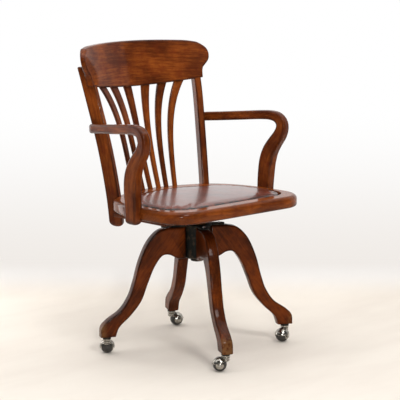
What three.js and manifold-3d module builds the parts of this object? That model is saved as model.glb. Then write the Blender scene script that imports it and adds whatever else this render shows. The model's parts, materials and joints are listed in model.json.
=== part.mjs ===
// Bankers swivel chair: a bent crest rail on two curved posts, six fanned slats, two bent arms, a plank
// seat with a leather pad let into it, an iron swivel and four arched legs on hooded ball casters.
// Millimetres, +Z up. The pieces are placed from the swivel axis, and the whole chair is then moved until
// the origin is on the floor under the middle of its box. The sitter faces -Y, their right hand at -X.
import * as THREE from 'three';
import { mergeVertices } from 'three/addons/utils/BufferGeometryUtils.js';
import Module from 'manifold-3d';

const wasm = await Module();
wasm.setup();

// Common values
const CLEARANCE = 0.3; // between pieces that touch, each cut by its neighbour
const OVERRUN = 6; // how far a cutting tool passes the face that it cuts
const MERGE_DISTANCE = 1e-4;
const QUARTER = Math.PI / 2;
const FACETS = { large: 28, medium: 20, small: 12 }; // round a turned piece, by its size
const BALL_FACETS = [16, 9]; // round a ball and from pole to pole
const ARC_FACETS = 6; // round half a plate's end
const MOST_ROUNDING_SHARE = 0.48; // of a section's smaller side
const ROUND_SHARES = [0, 0.33, 0.67, 1]; // stations over a rounded edge or end
const SMALL_ROUND_SHARES = [0, 0.5, 1];
const UPRIGHT = 90; // degrees from the turning axis of a lathe to that of a wheel
const SIDES = { right: -1, left: 1 };

// Casters: hooded balls, each swung to its own heading
const WHEEL_RADIUS = 19.3;
const TREAD_WIDTH = 6; // flat middle of the tyre
const TYRE_WIDTH = 26;
const TYRE_SHOULDER_SHARE = 0.55; // of the way from the tread to the tyre's side
const TYRE_BORE_RADIUS = 12;
const CAP_GAP = 2.8; // from the hood's inside to the tip of a chrome cap
const CORE_TIP_RADIUS = 6.5;
const CORE_LIP_SHARE = 0.7; // of the tyre's side that a cap covers
const CORE_DOME_SHARES = [0.4, 0.68]; // inwards and outwards, of a point on a cap's dome
const AXLE_RADIUS = 2.5;
const HOOD_GAP = 1;
const HOOD_WALL = 1.2;
const HOOD_TILT = 13; // degrees that the rim of the hood is tipped up towards the stem
const HOOD_RIM_RISE = 6.6; // rim above the axle
const HOOD_CHEEK_WIDTH = 14; // of the two tongues that come down over the ends of the axle
const CASTER_TRAIL = 16;
const HORN_RADIUS = 11.5;
const HORN_PROUD = 0.2; // top of the horn above that of the hood
const HORN_HEIGHT = 14;
const HORN_TIP_SHARE = 0.6; // of its radius
const HORN_SWELL_SHARE = 0.35; // of its height
const STEM_RADIUS = 4.6;
const STEM_SEAT = 3.5; // depth of the stem inside the horn
const STEM_COLLAR_RADIUS = 12.2;
const STEM_COLLAR_HEIGHT = 4.5;
const STEM_GRIP = 33; // length of stem inside the foot
const STEM_TIP_SHARE = 0.5; // of its radius
const SOCKET_WALL = 1.8;
const SOCKET_FLANGE_RADIUS = 12.5;
const SOCKET_FLANGE_HEIGHT = 4.7;
const CASTER_HEADINGS = [136, -162, -25, 46]; // degrees from +X of each ball seen from its stem

// Base: four legs of one outline round an iron hub
const LEG_TURN = -26.9; // degrees from +X to the second leg, the base standing as photographed
const LEG_COUNT = 4;
const LEG_REACH = 292; // axis to toe
const LEG_RISE = 308; // sole to the flat top
const LEG_THICKNESS = 32;
const LEG_ROUNDING = 4;
const FOOT_INSET = 22; // toe to caster stem
const HUB_RADIUS = 38;
const HUB_BORE_RADIUS = 14.5;
const HUB_BOTTOM_SHARE = 0.7; // of the leg's rise
const HUB_ARM_REACH = 82;
const HUB_ARM_WIDTH = 25;
const HUB_ARM_HEIGHT = 6;
const HUB_RIM_RADIUS = 42;
// The leg's outline: shares of LEG_REACH from the axis and of LEG_RISE above the sole
const LEG_BACK_SHARES = [
  [0.13, 1], [0.3, 1], [0.4, 0.977], [0.506, 0.88], [0.596, 0.7], [0.655, 0.5],
  [0.703, 0.37], [0.79, 0.247], [0.93, 0.152], [0.984, 0.094], [0.993, 0],
];
const LEG_BELLY_SHARES = [
  [0.843, 0], [0.809, 0.084], [0.693, 0.191], [0.584, 0.321], [0.519, 0.477], [0.44, 0.65],
  [0.36, 0.742], [0.295, 0.745], [0.21, 0.706], [0.13, 0.7],
];

// Swivel: a steel spindle under an iron spider
const SPINDLE_RADIUS = 14;
const SPINDLE_NECK_RADIUS = 11.2; // inside the nut and inside the spider
const SPINDLE_TIP = 2.25; // length below the nut
const SPINDLE_NUT_RADIUS = 19;
const SPINDLE_NUT_HEIGHT = 9;
const WASHER_HEIGHT = 2.5;
const WASHER_RADIUS = 26;
const SPIDER_BOSS_RADIUS = 24;
const SPIDER_FLARE_RADIUS = 38.4; // of the boss where it meets the seat
const SPIDER_HEIGHT = 24.9;
const SPIDER_PLATE_HEIGHT = 6;
const SPIDER_ARM_WIDTH = 28;
const SPIDER_TIP_WIDTH = 22.4; // of an arm at its end
const SPIDER_ARM_SPREAD = 68; // half the front to back distance of the arm ends

// Seat: a plank seat, recessed for the pad, on two battens
const SEAT_THICKNESS = 34;
const SEAT_HALF_WIDTH = 258;
const SEAT_FRONT = 198; // axis to front edge
const SEAT_BACK = 206; // axis to back edge
const SEAT_BACK_HALF = 150; // half the width of the curved back edge
const SEAT_BACK_BOW = 36;
const SEAT_CORNER_RADIUS = 84;
const SEAT_TOP_ROUNDING = 9;
const SEAT_BOTTOM_ROUNDING = 6;
const SEAT_SIDE_SHARE = 0.5; // where the side starts to draw in, between front corner and back
const SEAT_DRAW_SHARES = [0.35, 0.82]; // inwards and backwards, of the curve's handle before the back corner
const SEAT_INSET_SHARE = 0.5; // of a side inset, that its corners and back take
const SEAT_EXTRA_SHARE = 0.5; // place of one more point on each straight, and of the back curve's handle
const SEAT_CURVE_STEPS = 5;
const RECESS_DEPTH = 11;
const RECESS_MARGIN_FRONT = 44;
const RECESS_MARGIN_SIDE = 30;
const RECESS_MARGIN_BACK = 54;
const BATTEN_WIDTH = 40;
const BATTEN_HEIGHT = 18;
const BATTEN_FRONT = 90;
const BATTEN_BACK = 125;
const BATTEN_CENTRE = 188;
const BATTEN_ROUNDING = 3;
const BATTEN_CORNER_RADIUS = 9;

// Pad: a board covered in leather, crowned, with its edge rolled down into the recess
const PAD_BOARD_HEIGHT = 5;
const PAD_BOARD_MARGIN = 6;
const PAD_GAP = 3.2;
const PAD_EDGE_RISE = 1.5; // the rolled edge stands this far above the seat
const PAD_CROWN = 6;
const PAD_ROLL = 5.5;
const PAD_TUCK_SHARES = [0.3, 0.5]; // of the roll: the underside's inset and its height
const PAD_ROLL_SHARES = [0.25, 0.6, 1];
const PAD_TOP_SHARES = [0.94, 0.84, 0.7, 0.52, 0.32, 0.12]; // rings of the crown, of the pad's outline
const PAD_CROWN_POWER = 2.2;

// Back: posts, slats and crest rail
const POST_THICKNESS = 21;
const POST_DEPTH = 40;
const POST_ROUNDING = 4;
const POST_END_ROUNDING = 15;
const POST_TOP_ROUNDING = 4;
const POST_END_SHARE = 0.9;
const POST_TURN = 26; // degrees that each post is turned to face the sitter
const POST_DROP = 52; // below the seat
const POST_LAP = 69; // behind the crest rail
const POST_FOOT_OUT = 176;
const POST_FLARE = 37;
const POST_FOOT_BACK = 147;
const POST_RAKE = 93;
// Post's curve: shares of its height, of its flare and of its rake
const POST_PATH_SHARES = [
  [0, 0, 0], [0.182, 0.09, 0.1], [0.484, 0.365, 0.355], [0.804, 0.8, 0.72], [1, 1, 1],
];
const POST_STATION_SHARES = [0.12, 0.25, 0.4, 0.55, 0.7, 0.85];
const CREST_RADIUS = 450;
const CREST_THICKNESS = 21;
const CREST_TIP_THICKNESS = 12; // the ears are thinned from behind
const CREST_FRONT = 251; // front face at the middle, at the height of the datum
const CREST_DATUM_RISE = 13; // of that height above the rail's bottom edge
const CREST_RAKE = 0.28; // backward run per unit of height
const CREST_HALF_LENGTH = 254.5; // to the tips of the ears
const CREST_SHOULDER = 223; // half length along the bottom edge
const CREST_RISE = 298; // seat top to the rail's bottom edge at the middle
const CREST_BOTTOM_BOW = 15; // the ends of the bottom edge are this much higher
const CREST_HEIGHT = 131; // at the middle
const CREST_TOP_BOW = 7;
const CREST_EDGE_ROUNDING = 5;
// Ear: shares of the run from shoulder to tip, and of the ear's lower and upper heights
const EAR_RUN_SHARES = [0, 0.08, 0.21, 0.35, 0.48, 0.7, 0.87, 0.96, 1];
const EAR_LOW_SHARES = [0.12, 0.25, 0.34, 0.378, 0.408, 0.46, 0.513, 0.56, 0.61];
const EAR_HIGH_SHARES = [0.922, 0.915, 0.9, 0.882, 0.862, 0.824, 0.782, 0.742, 0.7];
const CREST_SPAN_SHARES = [0, 0.15, 0.3, 0.45, 0.6, 0.72, 0.82, 0.9, 0.96, 1];
const CREST_ROUND_SHARE = 0.8; // where the top edge starts to round over towards the ears
const SLAT_FEET = [16, 46, 80]; // half distances of the three pairs at the seat
const SLAT_HEADS = [36, 97, 155]; // and under the crest rail
const SLAT_LEAN_SHARE = 0.25; // straight share of a slat's sideways sweep
const SLAT_SWEEP_POWER = 4;
const SLAT_THICKNESS = 8;
const SLAT_SETBACK = 13; // crest's front face to the middle of a slat
const SLAT_FOOT_WIDTH = 15;
const SLAT_HEAD_WIDTH = 32;
const SLAT_WIDENING_SHARE = 0.3;
const SLAT_ROUNDING = 1.6;
const SLAT_FOOT_BACK = 178;
const SLAT_RAKE_SHARE = 1.3; // above 1 the slat bows backwards on its way up
const SLAT_TENON = 9;
const SLAT_STATION_SHARES = [0, 0.03, 0.16, 0.3, 0.44, 0.57, 0.69, 0.8, 0.9, 0.97, 1];

// Arms: one bent piece each, from the outside of the post down to the seat's edge
const ARM_BACK = 204; // axis to the rear end
const ARM_LENGTH = 281;
const ARM_RISE = 215; // seat top to the middle of the arm at its highest
const ARM_BACK_OUT = 220;
const ARM_KNUCKLE_OVERHANG = 14; // of the arm's middle beyond the seat's side, at its bend
const ARM_FOOT_OVERHANG = 4; // and at its foot
const ARM_DROP = 14; // below the seat
const ARM_WIDTH = 25;
const ARM_DEPTH = 26.5;
const SUPPORT_WIDTH = 30;
const SUPPORT_DEPTH = 48;
const ARM_ROUNDING = 6.5;
const ARM_END_ROUNDING = 11;
const ARM_STEPS = 2; // stations per part of the centre line
const ARM_TURN_SHARE = 0.8; // rise at which the arm starts to come down to the seat
const END_ROUND_SHARES = [0.1, 0.4, 0.7, 1];
// Centre line: shares of ARM_LENGTH from the rear end, of ARM_RISE above the seat, and of the depth that
// the piece gains from arm to support
const ARM_PATH_SHARES = [
  [0, 0.905, 0], [0.225, 0.93, 0], [0.511, 0.965, 0], [0.761, 0.995, 0], [0.87, 0.997, 0.05],
  [0.946, 0.972, 0.15], [0.992, 0.909, 0.25], [1, 0.831, 0.35], [0.971, 0.735, 0.5],
  [0.904, 0.621, 0.65], [0.846, 0.502, 0.85], [0.812, 0.361, 1], [0.8, 0.201, 1], [0.797, 0, 0.9],
];
const ARM_FOOT_GAIN_SHARE = 0.75; // of the depth gained, still there at the foot

// Sizes that follow from those above
const CORE_WIDTH = 2 * (WHEEL_RADIUS + HOOD_GAP - CAP_GAP); // over the two domed chrome caps
const HORN_TOP = 2 * WHEEL_RADIUS + HOOD_GAP + HOOD_WALL + HORN_PROUD;
const HORN_BOTTOM = HORN_TOP - HORN_HEIGHT;
const STEM_BOTTOM = HORN_TOP - STEM_SEAT;
const FOOT_RADIUS = LEG_REACH - FOOT_INSET;
const ARM_KNUCKLE_OUT = SEAT_HALF_WIDTH + ARM_KNUCKLE_OVERHANG;
const ARM_FOOT_OUT = SEAT_HALF_WIDTH + ARM_FOOT_OVERHANG;
const FOOT_SOLE = HORN_TOP + CLEARANCE + STEM_COLLAR_HEIGHT + CLEARANCE + SOCKET_FLANGE_HEIGHT + CLEARANCE;
const LEG_TOP = FOOT_SOLE + LEG_RISE;
const HUB_TOP = LEG_TOP + CLEARANCE + HUB_ARM_HEIGHT;
const HUB_BOTTOM = FOOT_SOLE + HUB_BOTTOM_SHARE * LEG_RISE;
const SPIDER_BOTTOM = HUB_TOP + CLEARANCE + WASHER_HEIGHT + CLEARANCE;
const SPIDER_TOP = SPIDER_BOTTOM + SPIDER_HEIGHT;
const BATTEN_BOTTOM = SPIDER_TOP + CLEARANCE;
const SEAT_BOTTOM = BATTEN_BOTTOM + BATTEN_HEIGHT + CLEARANCE;
const SEAT_TOP = SEAT_BOTTOM + SEAT_THICKNESS;
const POST_BOTTOM = SEAT_BOTTOM - POST_DROP;
const ARM_BOTTOM = SEAT_BOTTOM - ARM_DROP;
const CREST_BOTTOM = SEAT_TOP + CREST_RISE;
const CREST_TOP = CREST_BOTTOM + CREST_HEIGHT;
const CREST_DATUM = CREST_BOTTOM + CREST_DATUM_RISE;
const POST_TOP = CREST_BOTTOM + POST_LAP;

const mix = THREE.MathUtils.lerp;
const radians = THREE.MathUtils.degToRad;
const point = (x, y, z) => new THREE.Vector3(x, y, z);

// Solids and booleans

function solidFrom(geometry) {
  const bare = new THREE.BufferGeometry();
  bare.setAttribute('position', geometry.getAttribute('position').clone());
  if (geometry.index) {
    bare.setIndex(geometry.index.clone());
  }
  const merged = mergeVertices(bare, MERGE_DISTANCE);
  const mesh = new wasm.Mesh({
    numProp: 3,
    vertProperties: new Float32Array(merged.getAttribute('position').array),
    triVerts: new Uint32Array(merged.index.array),
  });
  return new wasm.Manifold(mesh);
}

function geometryFrom(solid) {
  const mesh = solid.getMesh();
  const geometry = new THREE.BufferGeometry();
  geometry.setAttribute('position', new THREE.BufferAttribute(new Float32Array(mesh.vertProperties), 3));
  geometry.setIndex(new THREE.BufferAttribute(new Uint32Array(mesh.triVerts), 1));
  return geometry;
}

function cut(solid, ...tools) {
  return tools.reduce((rest, tool) => rest.subtract(tool), solid);
}

function join(solid, ...others) {
  return others.reduce((all, other) => all.add(other), solid);
}

// A closed skin through rings of points, every ring with as many points
function skin(rings) {
  const size = rings[0].length;
  const corners = rings.flat();
  const triangles = [];
  for (let ring = 0; ring + 1 < rings.length; ring += 1) {
    for (let side = 0; side < size; side += 1) {
      const a = ring * size + side;
      const b = ring * size + ((side + 1) % size);
      triangles.push(a, b, b + size, a, b + size, a + size);
    }
  }
  const last = (rings.length - 1) * size;
  for (const [first, front] of [[0, false], [last, true]]) {
    const ring = corners.slice(first, first + size);
    const middle = ring.reduce((sum, corner) => sum.add(corner), point(0, 0, 0)).divideScalar(size);
    const hub = corners.push(middle) - 1;
    for (let side = 0; side < size; side += 1) {
      const a = first + side;
      const b = first + ((side + 1) % size);
      triangles.push(...(front ? [a, b, hub] : [b, a, hub]));
    }
  }
  const geometry = new THREE.BufferGeometry().setFromPoints(corners);
  geometry.setIndex(volumeOf(corners, triangles) > 0 ? triangles : triangles.reverse());
  return geometry;
}

function volumeOf(corners, triangles) {
  let volume = 0;
  for (let at = 0; at < triangles.length; at += 3) {
    const [a, b, c] = [corners[triangles[at]], corners[triangles[at + 1]], corners[triangles[at + 2]]];
    volume += a.dot(b.clone().cross(c));
  }
  return volume;
}

// Round-cornered rectangle as [across, along] pairs
function roundedRectangle(width, depth, rounding, steps = 3) {
  const most = Math.min(width, depth) * MOST_ROUNDING_SHARE;
  const radius = Math.min(rounding, most);
  const outline = [];
  for (let corner = 0; corner < 4; corner += 1) {
    const across = corner === 0 || corner === 3 ? 1 : -1;
    const along = corner < 2 ? 1 : -1;
    for (let step = 0; step <= steps; step += 1) {
      const angle = (corner + step / steps) * QUARTER;
      outline.push([
        across * (width / 2 - radius) + radius * Math.cos(angle),
        along * (depth / 2 - radius) + radius * Math.sin(angle),
      ]);
    }
  }
  return outline;
}

// Ring of an outline laid at a place, with its own two directions
function ringAt(outline, place, acrossAxis, alongAxis) {
  return outline.map(([across, along]) =>
    place.clone().addScaledVector(acrossAxis, across).addScaledVector(alongAxis, along));
}

// Turned shape from a profile of [radius, height] pairs that starts and ends on the axis
function turned(profile, segments) {
  const points = profile.map(([radius, height]) => new THREE.Vector2(radius, height));
  return new THREE.LatheGeometry(points, segments).rotateX(QUARTER);
}

// Turned shape with a bore, as a solid
function turnedRing(outer, inner, bottom, top, segments) {
  const body = turned([[0, bottom], [outer, bottom], [outer, top], [0, top]], segments);
  return cut(solidFrom(body), boreTool(inner, bottom, top, segments));
}

function boreTool(radius, bottom, top, segments) {
  const low = bottom - OVERRUN;
  const high = top + OVERRUN;
  return solidFrom(turned([[0, low], [radius, low], [radius, high], [0, high]], segments));
}

const mirrored = (ring, sign) => ring.map((corner) => point(sign * corner.x, corner.y, corner.z));

// Materials
const finish = (color, roughness, metalness) => ({ color, roughness, metalness });
const OAK = finish(0x6e3213, 0.32, 0);
const OAK_DARK = finish(0x4a230f, 0.38, 0);
const LEATHER = finish(0x7a3d24, 0.3, 0);
const PLYWOOD = finish(0x8a6a45, 0.7, 0);
const IRON = finish(0x23282a, 0.5, 0.7);
const STEEL = finish(0x8a8c8c, 0.35, 1);
const CHROME = finish(0xc4c6c6, 0.12, 1);
const RUBBER = finish(0x3c3b39, 0.7, 0);
const BRASS = finish(0x8f7440, 0.4, 1);

const chair = new THREE.Group();

function addPiece(name, geometry, look, place) {
  const piece = new THREE.Mesh(geometry, new THREE.MeshStandardMaterial(look));
  piece.name = name;
  (place ?? chair).add(piece);
}

// Base

function legOutline() {
  const place = ([reach, rise]) => new THREE.Vector2(reach * LEG_REACH, FOOT_SOLE + rise * LEG_RISE);
  const back = LEG_BACK_SHARES.map(place);
  const belly = LEG_BELLY_SHARES.map(place);
  const outline = new THREE.Shape();
  outline.moveTo(back[0].x, back[0].y);
  outline.lineTo(back[1].x, back[1].y);
  outline.splineThru(back.slice(2));
  outline.lineTo(belly[0].x, belly[0].y);
  outline.splineThru(belly.slice(1));
  outline.closePath();
  return outline;
}

function legSolid() {
  const slab = new THREE.ExtrudeGeometry(legOutline(), {
    depth: LEG_THICKNESS - 2 * LEG_ROUNDING,
    bevelThickness: LEG_ROUNDING,
    bevelSize: LEG_ROUNDING,
    bevelOffset: -LEG_ROUNDING,
    bevelSegments: 2,
    curveSegments: 2,
  });
  slab.translate(0, 0, LEG_ROUNDING - LEG_THICKNESS / 2).rotateX(QUARTER);
  const socketHole = boreTool(STEM_RADIUS + CLEARANCE + SOCKET_WALL + CLEARANCE, FOOT_SOLE,
    FOOT_SOLE + STEM_GRIP, FACETS.small).translate(FOOT_RADIUS, 0, 0);
  const hubHollow = boreTool(HUB_RADIUS + CLEARANCE, HUB_BOTTOM, LEG_TOP, FACETS.large);
  return cut(solidFrom(slab), socketHole, hubHollow);
}

function hubArm() {
  const arm = new THREE.Shape();
  const half = HUB_ARM_WIDTH / 2;
  const tip = HUB_ARM_REACH - half;
  arm.moveTo(0, -half);
  arm.lineTo(tip, -half);
  arm.absarc(tip, 0, half, -QUARTER, QUARTER, false);
  arm.lineTo(0, half);
  arm.closePath();
  const plate = new THREE.ExtrudeGeometry(arm, {
    depth: HUB_ARM_HEIGHT, bevelEnabled: false, curveSegments: ARC_FACETS,
  });
  return solidFrom(plate.translate(0, 0, HUB_TOP - HUB_ARM_HEIGHT));
}

function addBase() {
  const rimBottom = HUB_TOP - HUB_ARM_HEIGHT;
  let hub = solidFrom(turned([
    [0, HUB_BOTTOM],
    [HUB_RADIUS - LEG_ROUNDING, HUB_BOTTOM],
    [HUB_RADIUS, HUB_BOTTOM + LEG_ROUNDING],
    [HUB_RADIUS, rimBottom],
    [HUB_RIM_RADIUS, rimBottom],
    [HUB_RIM_RADIUS, HUB_TOP],
    [0, HUB_TOP],
  ], FACETS.large));
  for (let leg = 0; leg < LEG_COUNT; leg += 1) {
    const turn = LEG_TURN + ((leg - 1) * 360) / LEG_COUNT;
    hub = join(hub, hubArm().rotate([0, 0, turn]));
    addPiece(`leg_${leg + 1}`, geometryFrom(legSolid().rotate([0, 0, turn])), OAK_DARK);
  }
  hub = cut(hub, boreTool(HUB_BORE_RADIUS, HUB_BOTTOM, HUB_TOP, FACETS.medium));
  addPiece('hub_casting', geometryFrom(hub), IRON);
}

// Casters

function ball(radius) {
  return solidFrom(new THREE.SphereGeometry(radius, ...BALL_FACETS).rotateX(QUARTER));
}

// Solid bar across the wheel, as long as the tools that cut the hood
function crossBar(radius, reach) {
  return solidFrom(turned([[0, -reach], [radius, -reach], [radius, reach], [0, reach]], FACETS.medium))
    .rotate([UPRIGHT, 0, 0]);
}

// Dome over the wheel with a cheek on each side, and the horn that turns on the stem
function hoodSolid() {
  const inner = WHEEL_RADIUS + HOOD_GAP;
  const outer = inner + HOOD_WALL;
  const reach = 2 * outer;
  const cheeks = join(
    solidFrom(new THREE.BoxGeometry(HOOD_CHEEK_WIDTH, 2 * reach, reach)).translate(0, 0, reach / 2),
    crossBar(HOOD_CHEEK_WIDTH / 2, reach));
  const below = solidFrom(new THREE.BoxGeometry(2 * reach, 2 * reach, reach))
    .translate(0, 0, HOOD_RIM_RISE - reach / 2).rotate([0, HOOD_TILT, 0]);
  const hornTop = HORN_TOP - WHEEL_RADIUS;
  const hornBottom = HORN_BOTTOM - WHEEL_RADIUS;
  const horn = solidFrom(turned([
    [0, hornBottom],
    [HORN_RADIUS * HORN_TIP_SHARE, hornBottom],
    [HORN_RADIUS, mix(hornBottom, hornTop, HORN_SWELL_SHARE)],
    [HORN_RADIUS, hornTop],
    [0, hornTop],
  ], FACETS.medium)).translate(-CASTER_TRAIL, 0, 0);
  const stemFloor = STEM_BOTTOM - CLEARANCE - WHEEL_RADIUS;
  const stemBore = STEM_RADIUS + CLEARANCE;
  const stemHole = solidFrom(turned([
    [0, stemFloor], [stemBore, stemFloor], [stemBore, hornTop + OVERRUN], [0, hornTop + OVERRUN],
  ], FACETS.small)).translate(-CASTER_TRAIL, 0, 0);
  const dome = cut(ball(outer), cut(below, cheeks), solidFrom(
    new THREE.BoxGeometry(2 * reach, 2 * reach, reach)).translate(0, 0, -HOOD_CHEEK_WIDTH / 2 - reach / 2));
  return cut(join(dome, horn), ball(inner), crossBar(AXLE_RADIUS + CLEARANCE, reach), stemHole);
}

function coreProfile() {
  const half = CORE_WIDTH / 2;
  const seat = TYRE_WIDTH / 2;
  const lip = mix(TYRE_BORE_RADIUS, Math.sqrt(WHEEL_RADIUS ** 2 - seat ** 2), CORE_LIP_SHARE);
  const rim = seat + CLEARANCE;
  const [inwards, outwards] = CORE_DOME_SHARES;
  return [
    [AXLE_RADIUS + CLEARANCE, -half],
    [CORE_TIP_RADIUS, -half],
    [mix(lip, CORE_TIP_RADIUS, inwards), -mix(rim, half, outwards)],
    [lip, -rim],
    [TYRE_BORE_RADIUS - CLEARANCE, -rim],
    [TYRE_BORE_RADIUS - CLEARANCE, rim],
    [lip, rim],
    [mix(lip, CORE_TIP_RADIUS, inwards), mix(rim, half, outwards)],
    [CORE_TIP_RADIUS, half],
    [AXLE_RADIUS + CLEARANCE, half],
  ];
}

function closedLathe(profile, segments) {
  const loop = [...profile, profile[0]].map(([radius, height]) => new THREE.Vector2(radius, height));
  return solidFrom(new THREE.LatheGeometry(loop, segments).rotateX(QUARTER));
}

function tyreProfile() {
  const half = TYRE_WIDTH / 2;
  const tread = TREAD_WIDTH / 2;
  const edge = Math.sqrt(WHEEL_RADIUS ** 2 - half ** 2);
  const shoulder = mix(tread, half, TYRE_SHOULDER_SHARE);
  return [
    [TYRE_BORE_RADIUS, -half],
    [edge, -half],
    [Math.sqrt(WHEEL_RADIUS ** 2 - shoulder ** 2), -shoulder],
    [WHEEL_RADIUS, -tread],
    [WHEEL_RADIUS, tread],
    [Math.sqrt(WHEEL_RADIUS ** 2 - shoulder ** 2), shoulder],
    [edge, half],
    [TYRE_BORE_RADIUS, half],
  ];
}

function addCaster(number) {
  const legAngle = radians(LEG_TURN + ((number - 1) * 360) / LEG_COUNT);
  const group = new THREE.Group();
  group.position.set(FOOT_RADIUS * Math.cos(legAngle), FOOT_RADIUS * Math.sin(legAngle), 0);
  group.rotation.z = radians(CASTER_HEADINGS[number]);
  chair.add(group);
  const wheel = new THREE.Group();
  wheel.position.set(CASTER_TRAIL, 0, WHEEL_RADIUS);
  group.add(wheel);
  const label = number + 1;
  const axleHalf = WHEEL_RADIUS + HOOD_GAP + HOOD_WALL;
  const upright = new THREE.Matrix4().makeRotationX(QUARTER);
  addPiece(`caster_hood_${label}`, geometryFrom(hoodSolid()), CHROME, wheel);
  const core = geometryFrom(closedLathe(coreProfile(), FACETS.medium)).applyMatrix4(upright);
  const tyre = geometryFrom(closedLathe(tyreProfile(), FACETS.medium)).applyMatrix4(upright);
  addPiece(`caster_core_${label}`, core, CHROME, wheel);
  addPiece(`caster_tyre_${label}`, tyre, RUBBER, wheel);
  addPiece(`caster_axle_${label}`, turned([
    [0, -axleHalf], [AXLE_RADIUS, -axleHalf], [AXLE_RADIUS, axleHalf], [0, axleHalf],
  ], FACETS.small).applyMatrix4(upright), STEEL, wheel);
  const collarBottom = HORN_TOP + CLEARANCE;
  const collarTop = collarBottom + STEM_COLLAR_HEIGHT;
  const stemTop = FOOT_SOLE + STEM_GRIP - CLEARANCE;
  addPiece(`caster_stem_${label}`, turned([
    [0, STEM_BOTTOM],
    [STEM_RADIUS, STEM_BOTTOM],
    [STEM_RADIUS, collarBottom],
    [STEM_COLLAR_RADIUS, collarBottom],
    [STEM_COLLAR_RADIUS, collarTop],
    [STEM_RADIUS, collarTop],
    [STEM_RADIUS, stemTop - STEM_RADIUS],
    [STEM_RADIUS * STEM_TIP_SHARE, stemTop],
    [0, stemTop],
  ], FACETS.small), CHROME, group);
  const flangeBottom = collarTop + CLEARANCE;
  const bore = STEM_RADIUS + CLEARANCE;
  const sleeve = bore + SOCKET_WALL;
  addPiece(`caster_socket_${label}`, geometryFrom(closedLathe([
    [bore, flangeBottom],
    [SOCKET_FLANGE_RADIUS, flangeBottom],
    [SOCKET_FLANGE_RADIUS, flangeBottom + SOCKET_FLANGE_HEIGHT],
    [sleeve, flangeBottom + SOCKET_FLANGE_HEIGHT],
    [sleeve, FOOT_SOLE + STEM_GRIP],
    [bore, FOOT_SOLE + STEM_GRIP],
  ], FACETS.small)), IRON, group);
}

// Swivel

function spiderArmEnds() {
  const ends = [];
  for (const x of [-BATTEN_CENTRE, BATTEN_CENTRE]) {
    for (const y of [-SPIDER_ARM_SPREAD, SPIDER_ARM_SPREAD]) {
      ends.push([x, y]);
    }
  }
  return ends;
}

function addSwivel() {
  const nutTop = HUB_BOTTOM - CLEARANCE;
  const nutBottom = nutTop - SPINDLE_NUT_HEIGHT;
  addPiece('spindle', turned([
    [0, nutBottom - SPINDLE_TIP],
    [SPINDLE_NECK_RADIUS, nutBottom - SPINDLE_TIP],
    [SPINDLE_NECK_RADIUS, nutTop + CLEARANCE],
    [SPINDLE_RADIUS, nutTop + CLEARANCE],
    [SPINDLE_RADIUS, SPIDER_BOTTOM],
    [SPINDLE_NECK_RADIUS, SPIDER_BOTTOM],
    [SPINDLE_NECK_RADIUS, SPIDER_TOP - CLEARANCE],
    [0, SPIDER_TOP - CLEARANCE],
  ], FACETS.medium), STEEL);
  addPiece('spindle_nut', geometryFrom(
    turnedRing(SPINDLE_NUT_RADIUS, SPINDLE_NECK_RADIUS + CLEARANCE, nutBottom, nutTop, FACETS.medium)),
    IRON);
  const washerBottom = HUB_TOP + CLEARANCE;
  addPiece('thrust_washer', geometryFrom(turnedRing(WASHER_RADIUS, SPINDLE_RADIUS + CLEARANCE,
    washerBottom, washerBottom + WASHER_HEIGHT, FACETS.medium)), BRASS);
  const plateBottom = SPIDER_TOP - SPIDER_PLATE_HEIGHT;
  let spider = solidFrom(turned([
    [0, SPIDER_BOTTOM],
    [SPIDER_BOSS_RADIUS, SPIDER_BOTTOM],
    [SPIDER_BOSS_RADIUS, plateBottom],
    [SPIDER_FLARE_RADIUS, SPIDER_TOP],
    [0, SPIDER_TOP],
  ], FACETS.large));
  for (const [x, y] of spiderArmEnds()) {
    const reach = Math.hypot(x, y);
    const half = SPIDER_ARM_WIDTH / 2;
    const tip = SPIDER_TIP_WIDTH / 2;
    const arm = new THREE.Shape();
    arm.moveTo(0, -half);
    arm.lineTo(reach, -tip);
    arm.absarc(reach, 0, tip, -QUARTER, QUARTER, false);
    arm.lineTo(0, half);
    arm.closePath();
    const plate = new THREE.ExtrudeGeometry(arm, {
      depth: SPIDER_PLATE_HEIGHT, bevelEnabled: false, curveSegments: ARC_FACETS,
    });
    const turn = THREE.MathUtils.radToDeg(Math.atan2(y, x));
    spider = join(spider, solidFrom(plate.translate(0, 0, plateBottom)).rotate([0, 0, turn]));
  }
  spider = cut(spider, boreTool(SPINDLE_NECK_RADIUS + CLEARANCE, SPIDER_BOTTOM, SPIDER_TOP, FACETS.medium));
  addPiece('seat_spider', geometryFrom(spider), IRON);
}

// Seat

// Half outlines run from the front middle to the back middle, mirrored into a closed loop
function seatOutline(inset) {
  const half = SEAT_HALF_WIDTH - inset.side;
  const front = SEAT_FRONT - inset.front;
  const back = SEAT_BACK - inset.back;
  const backHalf = SEAT_BACK_HALF - inset.side * SEAT_INSET_SHARE;
  const radius = SEAT_CORNER_RADIUS - inset.side * SEAT_INSET_SHARE;
  const path = new THREE.Path();
  path.moveTo(0, -front);
  path.lineTo((half - radius) * SEAT_EXTRA_SHARE, -front);
  path.lineTo(half - radius, -front);
  path.absarc(half - radius, -front + radius, radius, -QUARTER, 0, false);
  const cornerTop = -front + radius;
  const sideEnd = mix(cornerTop, back, SEAT_SIDE_SHARE);
  path.lineTo(half, mix(cornerTop, sideEnd, SEAT_EXTRA_SHARE));
  const backCorner = back - SEAT_BACK_BOW;
  const [inwards, backwards] = SEAT_DRAW_SHARES;
  path.bezierCurveTo(half, sideEnd, mix(half, backHalf, inwards), mix(sideEnd, backCorner, backwards),
    backHalf, backCorner);
  path.quadraticCurveTo(backHalf * SEAT_EXTRA_SHARE, back, 0, back);
  const right = path.getPoints(SEAT_CURVE_STEPS).map((p) => [p.x, p.y]);
  const left = right.slice(1, -1).reverse().map(([x, y]) => [-x, y]);
  return [...right, ...left];
}

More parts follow.
